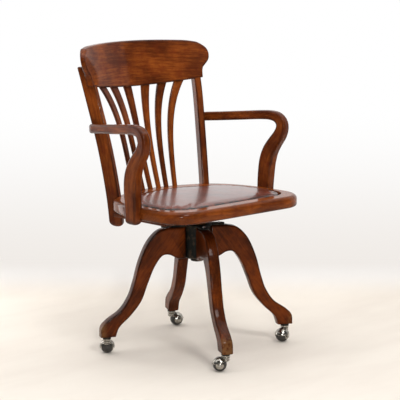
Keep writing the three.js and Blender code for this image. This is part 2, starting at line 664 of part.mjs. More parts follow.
const NO_INSET = { front: 0, side: 0, back: 0 };
const evenInset = (base, more) => ({
  front: base.front + more, side: base.side + more, back: base.back + more,
});
const RECESS = { front: RECESS_MARGIN_FRONT, side: RECESS_MARGIN_SIDE, back: RECESS_MARGIN_BACK };

const levelRing = (outline, height) => outline.map(([x, y]) => point(x, y, height));

// The plank's edge: a quarter round above and a smaller one below
function plankSolid() {
  const rings = [];
  for (const share of SMALL_ROUND_SHARES) {
    const angle = share * QUARTER;
    rings.push(levelRing(seatOutline(evenInset(NO_INSET, SEAT_BOTTOM_ROUNDING * (1 - Math.sin(angle)))),
      SEAT_BOTTOM + SEAT_BOTTOM_ROUNDING * (1 - Math.cos(angle))));
  }
  for (const share of ROUND_SHARES) {
    const angle = share * QUARTER;
    rings.push(levelRing(seatOutline(evenInset(NO_INSET, SEAT_TOP_ROUNDING * (1 - Math.cos(angle)))),
      SEAT_TOP - SEAT_TOP_ROUNDING * (1 - Math.sin(angle))));
  }
  return solidFrom(skin(rings));
}

function recessTool() {
  const outline = seatOutline(RECESS);
  const rings = [levelRing(outline, SEAT_TOP - RECESS_DEPTH), levelRing(outline, SEAT_TOP + OVERRUN)];
  return solidFrom(skin(rings));
}

function addSeat(tools) {
  addPiece('seat_plank', geometryFrom(cut(plankSolid(), recessTool(), ...tools)), OAK);
  const boardBottom = SEAT_TOP - RECESS_DEPTH + CLEARANCE;
  const boardTop = boardBottom + PAD_BOARD_HEIGHT;
  const boardOutline = seatOutline(evenInset(RECESS, PAD_BOARD_MARGIN));
  const board = skin([levelRing(boardOutline, boardBottom), levelRing(boardOutline, boardTop)]);
  addPiece('pad_board', board, PLYWOOD);
  addPiece('seat_pad', padGeometry(boardTop + CLEARANCE), LEATHER);
  for (const [side, sign] of Object.entries(SIDES)) {
    const centre = sign * BATTEN_CENTRE;
    const middle = (BATTEN_BACK - BATTEN_FRONT) / 2;
    const rings = [
      [BATTEN_ROUNDING, BATTEN_BOTTOM],
      [0, BATTEN_BOTTOM + BATTEN_ROUNDING],
      [0, BATTEN_BOTTOM + BATTEN_HEIGHT],
    ].map(([inset, height]) => {
      const length = BATTEN_BACK + BATTEN_FRONT - 2 * inset;
      const outline = roundedRectangle(BATTEN_WIDTH - 2 * inset, length, BATTEN_CORNER_RADIUS);
      return outline.map(([x, y]) => point(centre + x, middle + y, height));
    });
    addPiece(`batten_${side}`, skin(rings), OAK_DARK);
  }
}

// Pad: the side rolls over a quarter round, then the top swells to its crown
function padGeometry(bottom) {
  const edge = evenInset(RECESS, PAD_GAP);
  const edgeTop = SEAT_TOP + PAD_EDGE_RISE;
  const [tuck, lift] = PAD_TUCK_SHARES;
  const rings = [levelRing(seatOutline(evenInset(edge, PAD_ROLL * tuck)), bottom)];
  rings.push(levelRing(seatOutline(edge), bottom + PAD_ROLL * lift));
  for (const share of PAD_ROLL_SHARES) {
    const angle = share * QUARTER;
    rings.push(levelRing(seatOutline(evenInset(edge, PAD_ROLL * (1 - Math.cos(angle)))),
      edgeTop - PAD_ROLL * (1 - Math.sin(angle))));
  }
  const outline = seatOutline(evenInset(edge, PAD_ROLL));
  const middle = (SEAT_BACK - SEAT_FRONT) / 2;
  for (const share of PAD_TOP_SHARES) {
    const height = edgeTop + PAD_CROWN * (1 - share ** PAD_CROWN_POWER);
    rings.push(outline.map(([x, y]) => point(x * share, middle + (y - middle) * share, height)));
  }
  return skin(rings);
}

// Back

function postPath() {
  const places = POST_PATH_SHARES.map(([height, flare, rake]) => point(
    POST_FOOT_OUT + flare * POST_FLARE,
    POST_FOOT_BACK + rake * POST_RAKE,
    mix(POST_BOTTOM, POST_TOP, height)));
  return new THREE.CatmullRomCurve3(places);
}

function postSolid(sign, grow) {
  const path = postPath();
  const length = path.getLength();
  const turn = radians(-POST_TURN);
  const across = point(Math.cos(turn), Math.sin(turn), 0);
  const along = point(-Math.sin(turn), Math.cos(turn), 0);
  const stations = ROUND_SHARES.map((share) => [
    (POST_END_ROUNDING * (1 - Math.cos(share * QUARTER))) / length,
    POST_END_ROUNDING * (1 - Math.sin(share * QUARTER)),
  ]);
  stations.push(...POST_STATION_SHARES.map((share) => [share, 0]));
  stations.push(...SMALL_ROUND_SHARES.map((share) => [
    1 - (POST_TOP_ROUNDING * (1 - Math.sin(share * QUARTER))) / length,
    POST_TOP_ROUNDING * (1 - Math.cos(share * QUARTER)),
  ]));
  const rings = stations.map(([share, inset]) => {
    const width = POST_THICKNESS - 2 * inset * POST_END_SHARE + 2 * grow;
    const depth = POST_DEPTH - 2 * inset + 2 * grow;
    const outline = roundedRectangle(width, depth, POST_ROUNDING + grow);
    return mirrored(ringAt(outline, path.getPointAt(share), across, along), sign);
  });
  return solidFrom(skin(rings));
}

// Crest rail: a bent board. u runs along the bend, height is z, depth is measured back from the front face
function crestPoint(u, height, depth) {
  const angle = u / CREST_RADIUS;
  const centre = CREST_FRONT - CREST_RADIUS;
  return point(
    (CREST_RADIUS + depth) * Math.sin(angle),
    centre + (CREST_RADIUS + depth) * Math.cos(angle) + CREST_RAKE * (height - CREST_DATUM),
    height);
}

function crestEdges(share) {
  const span = share * share;
  return [CREST_BOTTOM + CREST_BOTTOM_BOW * span, CREST_TOP - CREST_TOP_BOW * span];
}

function crestRing(u, low, high, grow, run = 0) {
  const thickness = mix(CREST_THICKNESS, CREST_TIP_THICKNESS, run);
  const outline = roundedRectangle(high - low + 2 * grow, thickness + 2 * grow,
    CREST_EDGE_ROUNDING + grow, 2);
  const middle = (low + high) / 2;
  return outline.map(([up, deep]) => crestPoint(u, middle + up, thickness / 2 + deep));
}

function crestSolid(grow) {
  const stations = [];
  for (const share of CREST_SPAN_SHARES) {
    const [low, high] = crestEdges(share);
    const [, topAtEnd] = crestEdges(1);
    const start = CREST_ROUND_SHARE;
    const over = share > start ? ((share - start) / (1 - start)) ** 2 : 0;
    const drop = over * (topAtEnd - mix(CREST_BOTTOM, CREST_TOP, EAR_HIGH_SHARES[0]));
    stations.push([share * CREST_SHOULDER, low, high - drop]);
  }
  EAR_RUN_SHARES.forEach((run, at) => {
    const u = mix(CREST_SHOULDER + CLEARANCE, CREST_HALF_LENGTH, run);
    const low = mix(CREST_BOTTOM, CREST_TOP, EAR_LOW_SHARES[at]);
    const high = mix(CREST_BOTTOM, CREST_TOP, EAR_HIGH_SHARES[at]);
    stations.push([u, low, high, run]);
  });
  const ringOf = ([u, low, high, run], sign) => crestRing(sign * u, low, high, grow, run);
  const right = stations.slice(1).reverse().map((station) => ringOf(station, -1));
  const left = stations.map((station) => ringOf(station, 1));
  return solidFrom(skin([...right, ...left]));
}

// Slats: flat strips that stand close together at the seat and fan out under the crest rail
function slatSolid(side, pair, grow) {
  const foot = SEAT_TOP - SLAT_TENON;
  const head = CREST_BOTTOM + CREST_BOTTOM_BOW * (SLAT_HEADS[pair] / CREST_SHOULDER) ** 2 + SLAT_TENON;
  const rings = [];
  const headPlace = crestPoint(SLAT_HEADS[pair], head, SLAT_SETBACK);
  for (const share of SLAT_STATION_SHARES) {
    const sweep = SLAT_LEAN_SHARE * share + (1 - SLAT_LEAN_SHARE) * share ** SLAT_SWEEP_POWER;
    const lean = SLAT_RAKE_SHARE * share + (1 - SLAT_RAKE_SHARE) * share * share;
    const widening = SLAT_WIDENING_SHARE * share + (1 - SLAT_WIDENING_SHARE) * share ** SLAT_SWEEP_POWER;
    const place = point(
      side * mix(SLAT_FEET[pair], headPlace.x, sweep),
      mix(SLAT_FOOT_BACK, headPlace.y, lean),
      mix(foot, head, share));
    const turn = (-side * share * SLAT_HEADS[pair]) / CREST_RADIUS;
    const across = point(Math.cos(turn), Math.sin(turn), 0);
    const along = point(-Math.sin(turn), Math.cos(turn), 0);
    const width = mix(SLAT_FOOT_WIDTH, SLAT_HEAD_WIDTH, widening) + 2 * grow;
    const outline = roundedRectangle(width, SLAT_THICKNESS + 2 * grow, SLAT_ROUNDING, 1);
    rings.push(ringAt(outline, place, across, along));
  }
  return solidFrom(skin(rings));
}

// Arms

function armPath() {
  const places = ARM_PATH_SHARES.map(([run, rise]) => {
    const out = rise > ARM_TURN_SHARE
      ? mix(ARM_BACK_OUT, ARM_KNUCKLE_OUT, run)
      : mix(ARM_FOOT_OUT, ARM_KNUCKLE_OUT, rise / ARM_TURN_SHARE);
    return point(out, ARM_BACK - run * ARM_LENGTH, SEAT_TOP + rise * ARM_RISE);
  });
  places.push(places[places.length - 1].clone().setZ(ARM_BOTTOM));
  return new THREE.CatmullRomCurve3(places, false, 'centripetal');
}

// Stations along the piece: [share of the curve, gain in depth, inset of a rounded end]
function armStations(length) {
  const gains = [...ARM_PATH_SHARES.map(([, , gain]) => gain), ARM_FOOT_GAIN_SHARE];
  const parts = gains.length - 1;
  const gainAt = (share) => {
    const part = Math.min(Math.floor(share * parts), parts - 1);
    return mix(gains[part], gains[part + 1], share * parts - part);
  };
  const stations = [];
  for (const share of END_ROUND_SHARES) {
    const run = ARM_END_ROUNDING * (1 - Math.cos(share * QUARTER));
    stations.push([run, ARM_END_ROUNDING * (1 - Math.sin(share * QUARTER))]);
  }
  const tail = stations.map(([run, inset]) => [1 - run / length, inset]).reverse();
  const head = stations.map(([run, inset]) => [run / length, inset]);
  return { head, tail, gainAt, parts };
}

function armSolid(sign, grow) {
  const path = armPath();
  const length = path.getLength();
  const { head, tail, gainAt, parts } = armStations(length);
  const ringOf = (place, tangent, gain, inset) => {
    const lean = (1 - gain) * ((ARM_KNUCKLE_OUT - ARM_BACK_OUT) / ARM_LENGTH);
    const side = point(1, lean, 0);
    const outward = side.addScaledVector(tangent, -side.dot(tangent)).normalize();
    const inPlane = tangent.clone().cross(outward);
    const width = mix(ARM_WIDTH, SUPPORT_WIDTH, gain) - 2 * inset + 2 * grow;
    const depth = mix(ARM_DEPTH, SUPPORT_DEPTH, gain) - 2 * inset + 2 * grow;
    const outline = roundedRectangle(width, depth, ARM_ROUNDING + grow, 2);
    return mirrored(ringAt(outline, place, outward, inPlane), sign);
  };
  const rings = head.map(([share, inset]) =>
    ringOf(path.getPointAt(share), path.getTangentAt(share), 0, inset));
  const first = 1 / parts;
  for (let share = first; share < 1 - first; share += first / ARM_STEPS) {
    rings.push(ringOf(path.getPoint(share), path.getTangent(share), gainAt(share), 0));
  }
  rings.push(...tail.map(([share, inset]) =>
    ringOf(path.getPointAt(share), path.getTangentAt(share), ARM_FOOT_GAIN_SHARE, inset)));
  return solidFrom(skin(rings));
}

function addBack() {
  const crestTool = crestSolid(CLEARANCE);
  let crest = crestSolid(0);
  const seatTools = [];
  for (const [side, sign] of Object.entries(SIDES)) {
    const arm = armSolid(sign, 0);
    addPiece(`arm_${side}`, geometryFrom(cut(arm, postSolid(sign, CLEARANCE))), OAK);
    addPiece(`post_${side}`, geometryFrom(cut(postSolid(sign, 0), crestTool)), OAK);
    seatTools.push(postSolid(sign, CLEARANCE), armSolid(sign, CLEARANCE));
  }
  let number = 0;
  for (const [sign, pairs] of [[-1, [2, 1, 0]], [1, [0, 1, 2]]]) {
    for (const pair of pairs) {
      number += 1;
      addPiece(`slat_${number}`, geometryFrom(slatSolid(sign, pair, 0)), OAK);
      const tool = slatSolid(sign, pair, CLEARANCE);
      crest = cut(crest, tool);
      seatTools.push(tool);
    }
  }
  addPiece('crest_rail', geometryFrom(crest), OAK);
  return seatTools;
}

addBase();
for (let number = 0; number < LEG_COUNT; number += 1) {
  addCaster(number);
}
addSwivel();
addSeat(addBack());

// The two sides mirror each other, so the box is off its middle only from front to back
chair.position.setY(-new THREE.Box3().setFromObject(chair, true).getCenter(point(0, 0, 0)).y);

export default chair;
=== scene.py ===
# %% [markdown]
# # A bankers swivel chair
#
# This lesson dresses the CAD frame of an old desk chair: a bent crest rail on two curved posts, six fanned
# slats, two bent arms, a plank seat with a leather pad, an iron swivel and four arched legs on ball casters.
# Every piece is shaped the way a chairmaker would: sticks are planed and bent, boards are sawn and rounded,
# iron and chrome are turned, and the leather is blown up over its board like a cushion.

# %% Load the frame
import json
import math
from bisect import bisect_left

import bmesh
import bpy
from mathutils import Matrix, Vector


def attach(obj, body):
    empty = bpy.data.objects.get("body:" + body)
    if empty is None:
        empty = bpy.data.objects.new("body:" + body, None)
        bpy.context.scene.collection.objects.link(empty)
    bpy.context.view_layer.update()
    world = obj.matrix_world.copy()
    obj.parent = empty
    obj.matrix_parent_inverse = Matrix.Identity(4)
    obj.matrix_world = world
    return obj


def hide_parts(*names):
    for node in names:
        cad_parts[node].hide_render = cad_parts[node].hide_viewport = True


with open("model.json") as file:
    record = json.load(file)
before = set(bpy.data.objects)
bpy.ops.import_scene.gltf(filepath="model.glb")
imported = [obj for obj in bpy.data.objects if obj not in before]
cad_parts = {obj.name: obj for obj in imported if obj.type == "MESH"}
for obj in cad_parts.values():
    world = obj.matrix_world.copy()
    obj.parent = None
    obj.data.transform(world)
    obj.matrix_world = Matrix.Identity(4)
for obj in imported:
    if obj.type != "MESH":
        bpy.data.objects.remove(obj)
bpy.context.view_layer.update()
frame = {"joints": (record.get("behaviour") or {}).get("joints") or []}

MM = 0.001
QUARTER = math.pi / 2
swivel = next(joint for joint in frame["joints"] if joint["name"] == "seat_swivel")
AXIS = Vector((swivel["pos_m"][0], swivel["pos_m"][1], 0))
TO_FRAME = Matrix.Translation(AXIS) @ Matrix.Scale(MM, 4)

# %% [markdown]
# ## The camera first
#
# The camera stands where the photograph was taken from: in front of the chair, out to the side of its right
# arm, and a little above the crest rail. It could be set last, but set first it lets every later render be
# held against the photograph. Its place is in metres from the swivel axis.

# %% Camera
CAMERA_PLACE = (-3.1302, -3.2648, 1.201)
CAMERA_TILT, CAMERA_TURN, LENS, SENSOR = 80.37, -43.9, 144, 36


def add_camera(location, turn, lens):
    data = bpy.data.cameras.new("camera")
    data.sensor_width = SENSOR
    data.lens = lens
    camera = bpy.data.objects.new("camera", data)
    camera.location = Vector(location) + AXIS
    camera.rotation_euler = [math.radians(angle) for angle in turn]
    bpy.context.scene.collection.objects.link(camera)
    bpy.context.scene.camera = camera
    return camera


camera = add_camera(CAMERA_PLACE, (CAMERA_TILT, 0, CAMERA_TURN), LENS)
print("camera at", tuple(round(value, 3) for value in camera.location))

# %% [markdown]
# ## Tools for shaping wood and metal
#
# Four tools make almost the whole chair. A loft fills one outline and extrudes it from ring to ring, as a
# stick is followed along its bend. A board is a sawn outline with a thickness and eased edges. A turned
# piece spins a profile round an axis. A curve joins measured points smoothly, so few points say a lot.
#
# Three values are stored on the vertices: their place in the straight, unbent stick, so that the grain
# follows the bend, how sharply the surface turns there, so that wear and a painted shade land on the
# edges, and how pale this stick of wood is.

# %% Curves
def mix(a, b, share):
    return a + (b - a) * share


def shares(count):
    """From 0 to 1 in even steps."""
    return [step / count for step in range(count + 1)]


def curve(points):
    """A smooth curve through the points, as a function of the share 0 to 1."""
    points = [Vector(point) for point in points]
    padded = [points[0] * 2 - points[1], *points, points[-1] * 2 - points[-2]]

    def at(share):
        along = max(0, min(share, 1)) * (len(points) - 1)
        part = min(int(along), len(points) - 2)
        before, start, end, after = padded[part:part + 4]
        gaps = [math.sqrt((b - a).length) for a, b in ((before, start), (start, end), (end, after))]
        leave = ((start - before) / gaps[0] - (end - before) / (gaps[0] + gaps[1])
                 + (end - start) / gaps[1]) * gaps[1]
        arrive = ((end - start) / gaps[1] - (after - start) / (gaps[1] + gaps[2])
                  + (after - end) / gaps[2]) * gaps[1]
        t = along - part
        return (start + leave * t + (end * 3 - start * 3 - leave * 2 - arrive) * t * t
                + (start * 2 - end * 2 + leave + arrive) * t ** 3)
    return at


def walk(path, steps=600):
    """The curve by distance: a function from share of its length to place and direction, and its length."""
    places = [path(share) for share in shares(steps)]
    run = [0.0]
    for a, b in zip(places, places[1:]):
        run.append(run[-1] + (b - a).length)

    def at(share):
        index = min(max(bisect_left(run, share * run[-1]), 1), steps)
        part = (share * run[-1] - run[index - 1]) / (run[index] - run[index - 1])
        spot = places[index - 1].lerp(places[index], part)
        low, high = max(index - 3, 0), min(index + 2, steps)
        return spot, (places[high] - places[low]).normalized()
    return at, run[-1]


print("the middle of a bow is at", tuple(curve([(0, 0, 0), (1, 1, 0), (2, 0, 0)])(0.5)))

# %% Lofts, boards and turned pieces
SUPPORT = 2.5  # how far a support point stands from its rounded edge, at most
EASED_ANGLE = 50  # degrees between two faces, above which an edge is rounded


def over_edge(steps):
    """Points over a rounded edge of radius 1, as (1 - cosine, 1 - sine) at shares of the quarter turn."""
    return [(1 - math.cos(share * QUARTER), 1 - math.sin(share * QUARTER)) for share in steps]


def rounded(width, depth, rounding, steps=4):
    """Round-cornered rectangle as pairs, with support points on the flat sides next to each corner."""
    radius = min(rounding, 0.48 * min(width, depth))
    inner = (width / 2 - radius, depth / 2 - radius)
    outline = []
    for corner in range(4):
        signs = (1 if corner in (0, 3) else -1, 1 if corner < 2 else -1)
        arc = []
        for share in shares(steps):
            angle = (corner + share) * QUARTER
            arc.append((signs[0] * inner[0] + radius * math.cos(angle),
                        signs[1] * inner[1] + radius * math.sin(angle)))
        slack = [sign * min(SUPPORT, 0.3 * half) for sign, half in zip(signs, inner)]
        (x, y), (end_x, end_y) = arc[0], arc[-1]
        if corner % 2 == 0:
            first, last = (x, y - slack[1]), (end_x - slack[0], end_y)
        else:
            first, last = (x - slack[0], y), (end_x, end_y - slack[1])
        outline += [first, *arc, last]
    return outline


def loft(rings, straight):
    """A closed form: the first ring's face is extruded from ring to ring. straight holds unbent places."""
    form = bmesh.new()
    grain = form.verts.layers.float_vector.new("grain")

    def move(cap, index):
        for corner, spot, plain in zip(cap.verts, rings[index], straight[index]):
            corner.co = spot
            corner[grain] = Vector(plain) * MM

    cap = form.faces.new([form.verts.new(spot) for spot in rings[0]])
    move(cap, 0)
    for index in range(1, len(rings)):
        made = bmesh.ops.extrude_face_region(form, geom=[cap])["geom"]
        if index > 1:
            bmesh.ops.delete(form, geom=[cap], context="FACES_ONLY")
        cap = next(item for item in made if isinstance(item, bmesh.types.BMFace))
        move(cap, index)
    bmesh.ops.recalc_face_normals(form, faces=form.faces)
    return form


def stick(stations, rounding, steps=4):
    """Loft along a bent stick. A station is place, two directions, width, depth and distance along it."""
    rings, straight = [], []
    for spot, across, along, width, depth, run in stations:
        outline = rounded(width, depth, rounding, steps)
        rings.append([spot + across * a + along * b for a, b in outline])
        straight.append([(a, b, run) for a, b in outline])
    return loft(rings, straight)


def ease(form, offset):
    """Rounds every sharp edge."""
    sharp = [edge for edge in form.edges
             if len(edge.link_faces) == 2 and edge.calc_face_angle() > math.radians(EASED_ANGLE)]
    bmesh.ops.bevel(form, geom=sharp, offset=offset, segments=2, profile=0.5, affect="EDGES", material=-1,
                    clamp_overlap=True)
    return form


def inset(outline, amount):
    """The outline drawn in by an amount, corner by corner."""
    area = sum(a[0] * b[1] - b[0] * a[1] for a, b in zip(outline, outline[1:] + outline[:1]))
    side = 1 if area > 0 else -1
    drawn = []
    for before, here, after in zip(outline[-1:] + outline[:-1], outline, outline[1:] + outline[:1]):
        arrive = Vector((here[0] - before[0], here[1] - before[1])).normalized()
        leave = Vector((after[0] - here[0], after[1] - here[1])).normalized()
        normal = Vector((-arrive.y - leave.y, arrive.x + leave.x)) / max(1 + arrive.dot(leave), 0.5)
        drawn.append((here[0] + side * amount * normal.x, here[1] + side * amount * normal.y))
    return drawn


def board(outline, bottom, top, rounding, segments=4, grain_turn=0.0):
    """A sawn board with rounded edges: its outline lies in X and Y. The grain runs along grain_turn."""
    half = [(rounding * draw, rounding * rise) for rise, draw in over_edge(shares(segments))]
    levels = [(rounding + SUPPORT, bottom)] + [(draw, bottom + rise) for draw, rise in half]
    levels += [(draw, top - rise) for draw, rise in reversed(half)] + [(rounding + SUPPORT, top)]
    turn = Matrix.Rotation(-grain_turn, 2)
    rings, straight = [], []
    for draw, height in levels:
        ring = inset(outline, draw)
        laid = [turn @ Vector(pair) for pair in ring]
        rings.append([Vector((x, y, height)) for x, y in ring])
        straight.append([(spot.y, height, spot.x) for spot in laid])
    return loft(rings, straight)


def turned(profile, steps=48, closed=False, axis="Z"):
    """Spins (radius, height) pairs a full turn. A closed profile makes a ring."""
    form = bmesh.new()
    corners = [form.verts.new((radius, 0, height)) for radius, height in profile]
    loop = [*corners, corners[0]] if closed else corners
    edges = [form.edges.new(pair) for pair in zip(loop, loop[1:])]
    bmesh.ops.spin(form, geom=corners + edges, axis=(0, 0, 1), angle=math.tau, steps=steps, use_merge=True)
    bmesh.ops.remove_doubles(form, verts=form.verts, dist=1e-4)
    bmesh.ops.recalc_face_normals(form, faces=form.faces)
    if axis == "Y":
        bmesh.ops.rotate(form, verts=form.verts, matrix=Matrix.Rotation(QUARTER, 3, "X"))
    return form


def moved(form, matrix):
    """The form itself, moved, so that calls can be nested."""
    bmesh.ops.transform(form, matrix=matrix, verts=form.verts)
    return form


def joined(*forms):
    """Several forms in one mesh, such as a casting's hub and its arms."""
    first = forms[0]
    for other in forms[1:]:
        mesh = bpy.data.meshes.new("joining")
        other.to_mesh(mesh)
        other.free()
        first.from_mesh(mesh)
        bpy.data.meshes.remove(mesh)
    return first


print("a rounded stick has", len(rounded(20, 40, 4)), "corners in its outline")

# %% [markdown]
# ## Putting a piece in place
#
# The shaping is done in millimetres from the swivel axis, as the CAD is, and each piece is brought into
# the frame in one move. The object could be moved instead, but then a pattern would slide when the export
# puts the objects back, so the move goes into the mesh. The piece then rides on its body and stands for the
# CAD node that it replaces.

# %% Place a piece
PIECES = {}
GRAIN_SHIFT = Vector((0.31, 0.17, 0.53))  # from one stick's figure to the next
# the edge value also places a painted shade on the oak's edges
EDGE_FULL_ANGLE = 24  # degrees between two faces, from which an edge wears in full


def place(name, form, body, nodes, material, sharp=38, number=0, tone=0.5):
    """number shifts the grain, and tone says how pale this stick of wood is, from 0 to 1.

    Edges that turn by more than sharp degrees stay crisp in the shading."""
    edge = form.verts.layers.float.new("edge")
    shade = form.verts.layers.float.new("tone")
    for corner in form.verts:
        corner[shade] = tone
        turns = [link.calc_face_angle(0) for link in corner.link_edges if len(link.link_faces) == 2]
        corner[edge] = min(1, max(turns, default=0) / math.radians(EDGE_FULL_ANGLE))
    if "grain" in form.verts.layers.float_vector:
        grain = form.verts.layers.float_vector["grain"]
        for corner in form.verts:
            corner[grain] += GRAIN_SHIFT * number
    moved(form, TO_FRAME)
    mesh = bpy.data.meshes.new(name)
    form.to_mesh(mesh)
    form.free()
    mesh.shade_smooth()
    mesh.set_sharp_from_angle(angle=math.radians(sharp))
    mesh.materials.append(material)
    piece = bpy.data.objects.new(name, mesh)
    bpy.context.scene.collection.objects.link(piece)
    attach(piece, body)
    if nodes:
        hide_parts(*nodes)
    PIECES[name] = piece
    return piece


# %% [markdown]
# ## Writing materials as sums
#
# A material is a graph of nodes, but it reads best as arithmetic. A Wire stands for one output of the graph
# and knows how to add, subtract and multiply. A Graph makes nodes, for a material or for the world, and a
# Finish is the graph of one material, which also mixes colours and sets the shader. With these, a recipe for
# oak is some thirty lines that can be read aloud.

# %% Shader helper
class Wire:
    """One output of a graph, with arithmetic."""

    def __init__(self, graph, socket):
        self.graph = graph
        self.socket = socket

    def maths(self, operation, *values):
        return self.graph.node("ShaderNodeMath", {"operation": operation}, dict(enumerate(values)))

    def __add__(self, other):
        return self.maths("ADD", self, other)

    def __sub__(self, other):
        return self.maths("SUBTRACT", self, other)

    def __rsub__(self, other):
        return self.maths("SUBTRACT", other, self)

    def __mul__(self, other):
        return self.maths("MULTIPLY", self, other)

    __radd__ = __add__
    __rmul__ = __mul__

    def between(self, low, high):
        """0 below low, 1 above high, smooth between."""
        return self.graph.node("ShaderNodeMapRange", {"interpolation_type": "SMOOTHSTEP"},
                               {"Value": self, "From Min": low, "From Max": high})

    def stretched(self, x, y, z):
        """A vector's parts, each made longer or shorter."""
        return self.graph.node("ShaderNodeVectorMath", {"operation": "MULTIPLY"}, {0: self, 1: (x, y, z)})

    def length(self):
        return self.graph.node("ShaderNodeVectorMath", {"operation": "LENGTH"}, {0: self}, 1)

    def height(self):
        return self.graph.node("ShaderNodeSeparateXYZ", {}, {"Vector": self}, 2)


class Graph:
    """The nodes of a material or of the world."""

    def __init__(self, tree):
        self.tree = tree

    def node(self, kind, settings, inputs, output=0):
        made = self.tree.nodes.new(kind)
        for key, value in settings.items():
            setattr(made, key, value)
        for key, value in inputs.items():
            self.plug(made.inputs[key], value)
        return Wire(self, made.outputs[output])

    def plug(self, socket, value):
        if isinstance(value, Wire):
            self.tree.links.new(value.socket, socket)
        else:
            socket.default_value = value


class Finish(Graph):
    """One material."""

    def __init__(self, name):
        self.material = bpy.data.materials.new(name)
        self.material.use_nodes = True
        super().__init__(self.material.node_tree)
        self.shader = self.tree.nodes["Principled BSDF"]

    def attribute(self, name, output):
        return self.node("ShaderNodeAttribute", {"attribute_name": name}, {}, output)

    def place(self):
        return self.node("ShaderNodeTexCoord", {}, {}, "Object")

    def noise(self, vector, scale, detail=3, roughness=0.5, distortion=0):
        return self.node("ShaderNodeTexNoise", {}, {
            "Vector": vector, "Scale": scale, "Detail": detail, "Roughness": roughness,
            "Distortion": distortion})

    def blend(self, share, first, second):
        """Colour mixed by a share."""
        return self.node("ShaderNodeMix", {"data_type": "RGBA"}, {0: share, 6: first, 7: second}, 2)

    def bump(self, height, distance, strength, under=None):
        inputs = {"Height": height, "Distance": distance, "Strength": strength}
        if under:
            inputs["Normal"] = under
        return self.node("ShaderNodeBump", {}, inputs)

    def set(self, **values):
        """Plugs values into the shader's inputs, named in small letters, and hands out the material."""
        for name, value in values.items():
            self.plug(self.shader.inputs[name.replace("_", " ").title().replace("Ior", "IOR")], value)
        return self.material


def colour(red, green, blue):
    """A colour given as it looks on screen, 0 to 255, turned into linear light."""
    return tuple(((value / 255 + 0.055) / 1.055) ** 2.4 if value > 10 else value / 255 / 12.92
                 for value in (red, green, blue)) + (1,)


print("middle grey in linear light:", [round(part, 3) for part in colour(119, 119, 119)])

# %% [markdown]
# ## Varnished oak
#
# Oak shows three things at once: broad growth rings that run along the stick, fine dark pores drawn out with
# the grain, and blotches where a century of polish has darkened. The varnish lies on top as a clear coat.
# Plain object coordinates would be simpler, but grain would run straight through a bent arm. So all of it is
# read from the straight stick that was stored while shaping, and the grain bends with the wood. The toes
# of the legs have been kicked bare, so the colour there depends on how far out a place is.

# %% Oak
TOE_FROM, TOE_TO = 0.268, 0.288  # metres from the swivel axis, over which the varnish wears off


def oak(name, pale, warm, red, deep, film, bare_toes):
    """film is how strongly the varnish mirrors, and bare_toes how much of it is gone from the toes."""
    finish = Finish(name)
    grain = finish.attribute("grain", "Vector")
    edge = finish.attribute("edge", "Fac")
    tone = finish.attribute("tone", "Fac")
    drift = finish.noise(grain.stretched(1, 1, 0.3), 9, 3)
    warped = finish.node("ShaderNodeVectorMath", {"operation": "ADD"}, {
        0: grain.stretched(1, 1, 0.09),
        1: finish.node("ShaderNodeCombineXYZ", {}, {0: drift * 0.022, 1: drift * 0.011})})
    rings = finish.node("ShaderNodeTexWave", {"bands_direction": "DIAGONAL"}, {
        "Vector": warped, "Scale": 46, "Distortion": 4.5, "Detail": 2.5, "Detail Scale": 1.6}, 1)
    streaks = finish.noise(grain.stretched(1, 1, 0.06), 380, 3, 0.6)
    pores = finish.noise(grain.stretched(1, 1, 0.035), 1500, 2, 0.5).between(0.58, 0.72)
    cloud = finish.noise(grain.stretched(1, 1, 0.6), 15, 4, 0.6)
    blotch = finish.noise(grain, 31, 3, 0.6)
    grime_and_edge_shade = finish.noise(grain.stretched(1, 1, 0.4), 24, 3, 0.6)
    figure = tone * 0.5 + (cloud - 0.5) * 1.5 + (streaks - 0.5) * 1.3 + (rings - 0.5) * 0.16 + 0.25
    body = finish.blend(figure.between(0.1, 0.95), warm, pale)
    body = finish.blend(blotch.between(0.45, 0.7) * 0.5, body, red)
    body = finish.blend(((1 - tone) * 0.5 + (0.52 - cloud) * 1.6).between(0, 1) * 0.7, body, deep)
    body = finish.blend(pores * 0.5, body, deep)
    # edges darkened towards deep brown: partly dirt, partly painted shade on the rounded edges
    body = finish.blend(edge * (0.35 + grime_and_edge_shade.between(0.4, 0.62) * 0.45), body, deep)
    wear = edge * finish.noise(grain, 45, 3, 0.6).between(0.58, 0.7)
    body = finish.blend(wear * 0.35, body, pale)
    from_axis = finish.node("ShaderNodeVectorMath", {"operation": "SUBTRACT"}, {0: finish.place(), 1: AXIS})
    reach = from_axis.stretched(1, 1, 0).length()
    toe = reach.between(TOE_FROM, TOE_TO) * finish.noise(grain, 60, 3, 0.6).between(0.3, 0.6) * bare_toes
    body = finish.blend(toe, body, colour(134, 96, 58))
    rough = 0.4 + blotch * 0.14 + streaks * 0.1 - wear * 0.1
    relief = rings * 0.15 + streaks * 0.4 - pores * 0.6
    waves = finish.noise(grain, 26, 2, 0.5)
    normal = finish.bump(relief, 0.00014, 0.6, finish.bump(waves, 0.0011, 0.35))
    return finish.set(base_color=body, roughness=rough, coat_weight=1 - blotch * 0.3,
                      coat_roughness=0.11, coat_ior=film, normal=normal, specular_ior_level=0.04)


OAK = oak("varnished_oak", colour(146, 74, 25), colour(100, 44, 14), colour(98, 34, 12), colour(34, 12, 4),
          film=1.22, bare_toes=0)
OAK_LEG = oak("dark_oak", colour(124, 56, 12), colour(82, 34, 5), colour(74, 27, 5), colour(24, 9, 2),
              film=1.17, bare_toes=0.5)
print("nodes in the oak:", len(OAK.node_tree.nodes))

# %% [markdown]
# ## Iron, steel, chrome, rubber and brass
#
# The metals differ mostly in how rough they are and in what lies on them: the iron casting is painted and
# pitted, the chrome is thin and spotted with age, and the rubber has picked up dust from the floor. Steel,
# chrome and brass could each have a recipe, but they are one metal with other colours and other spots, so
# one function makes all three.

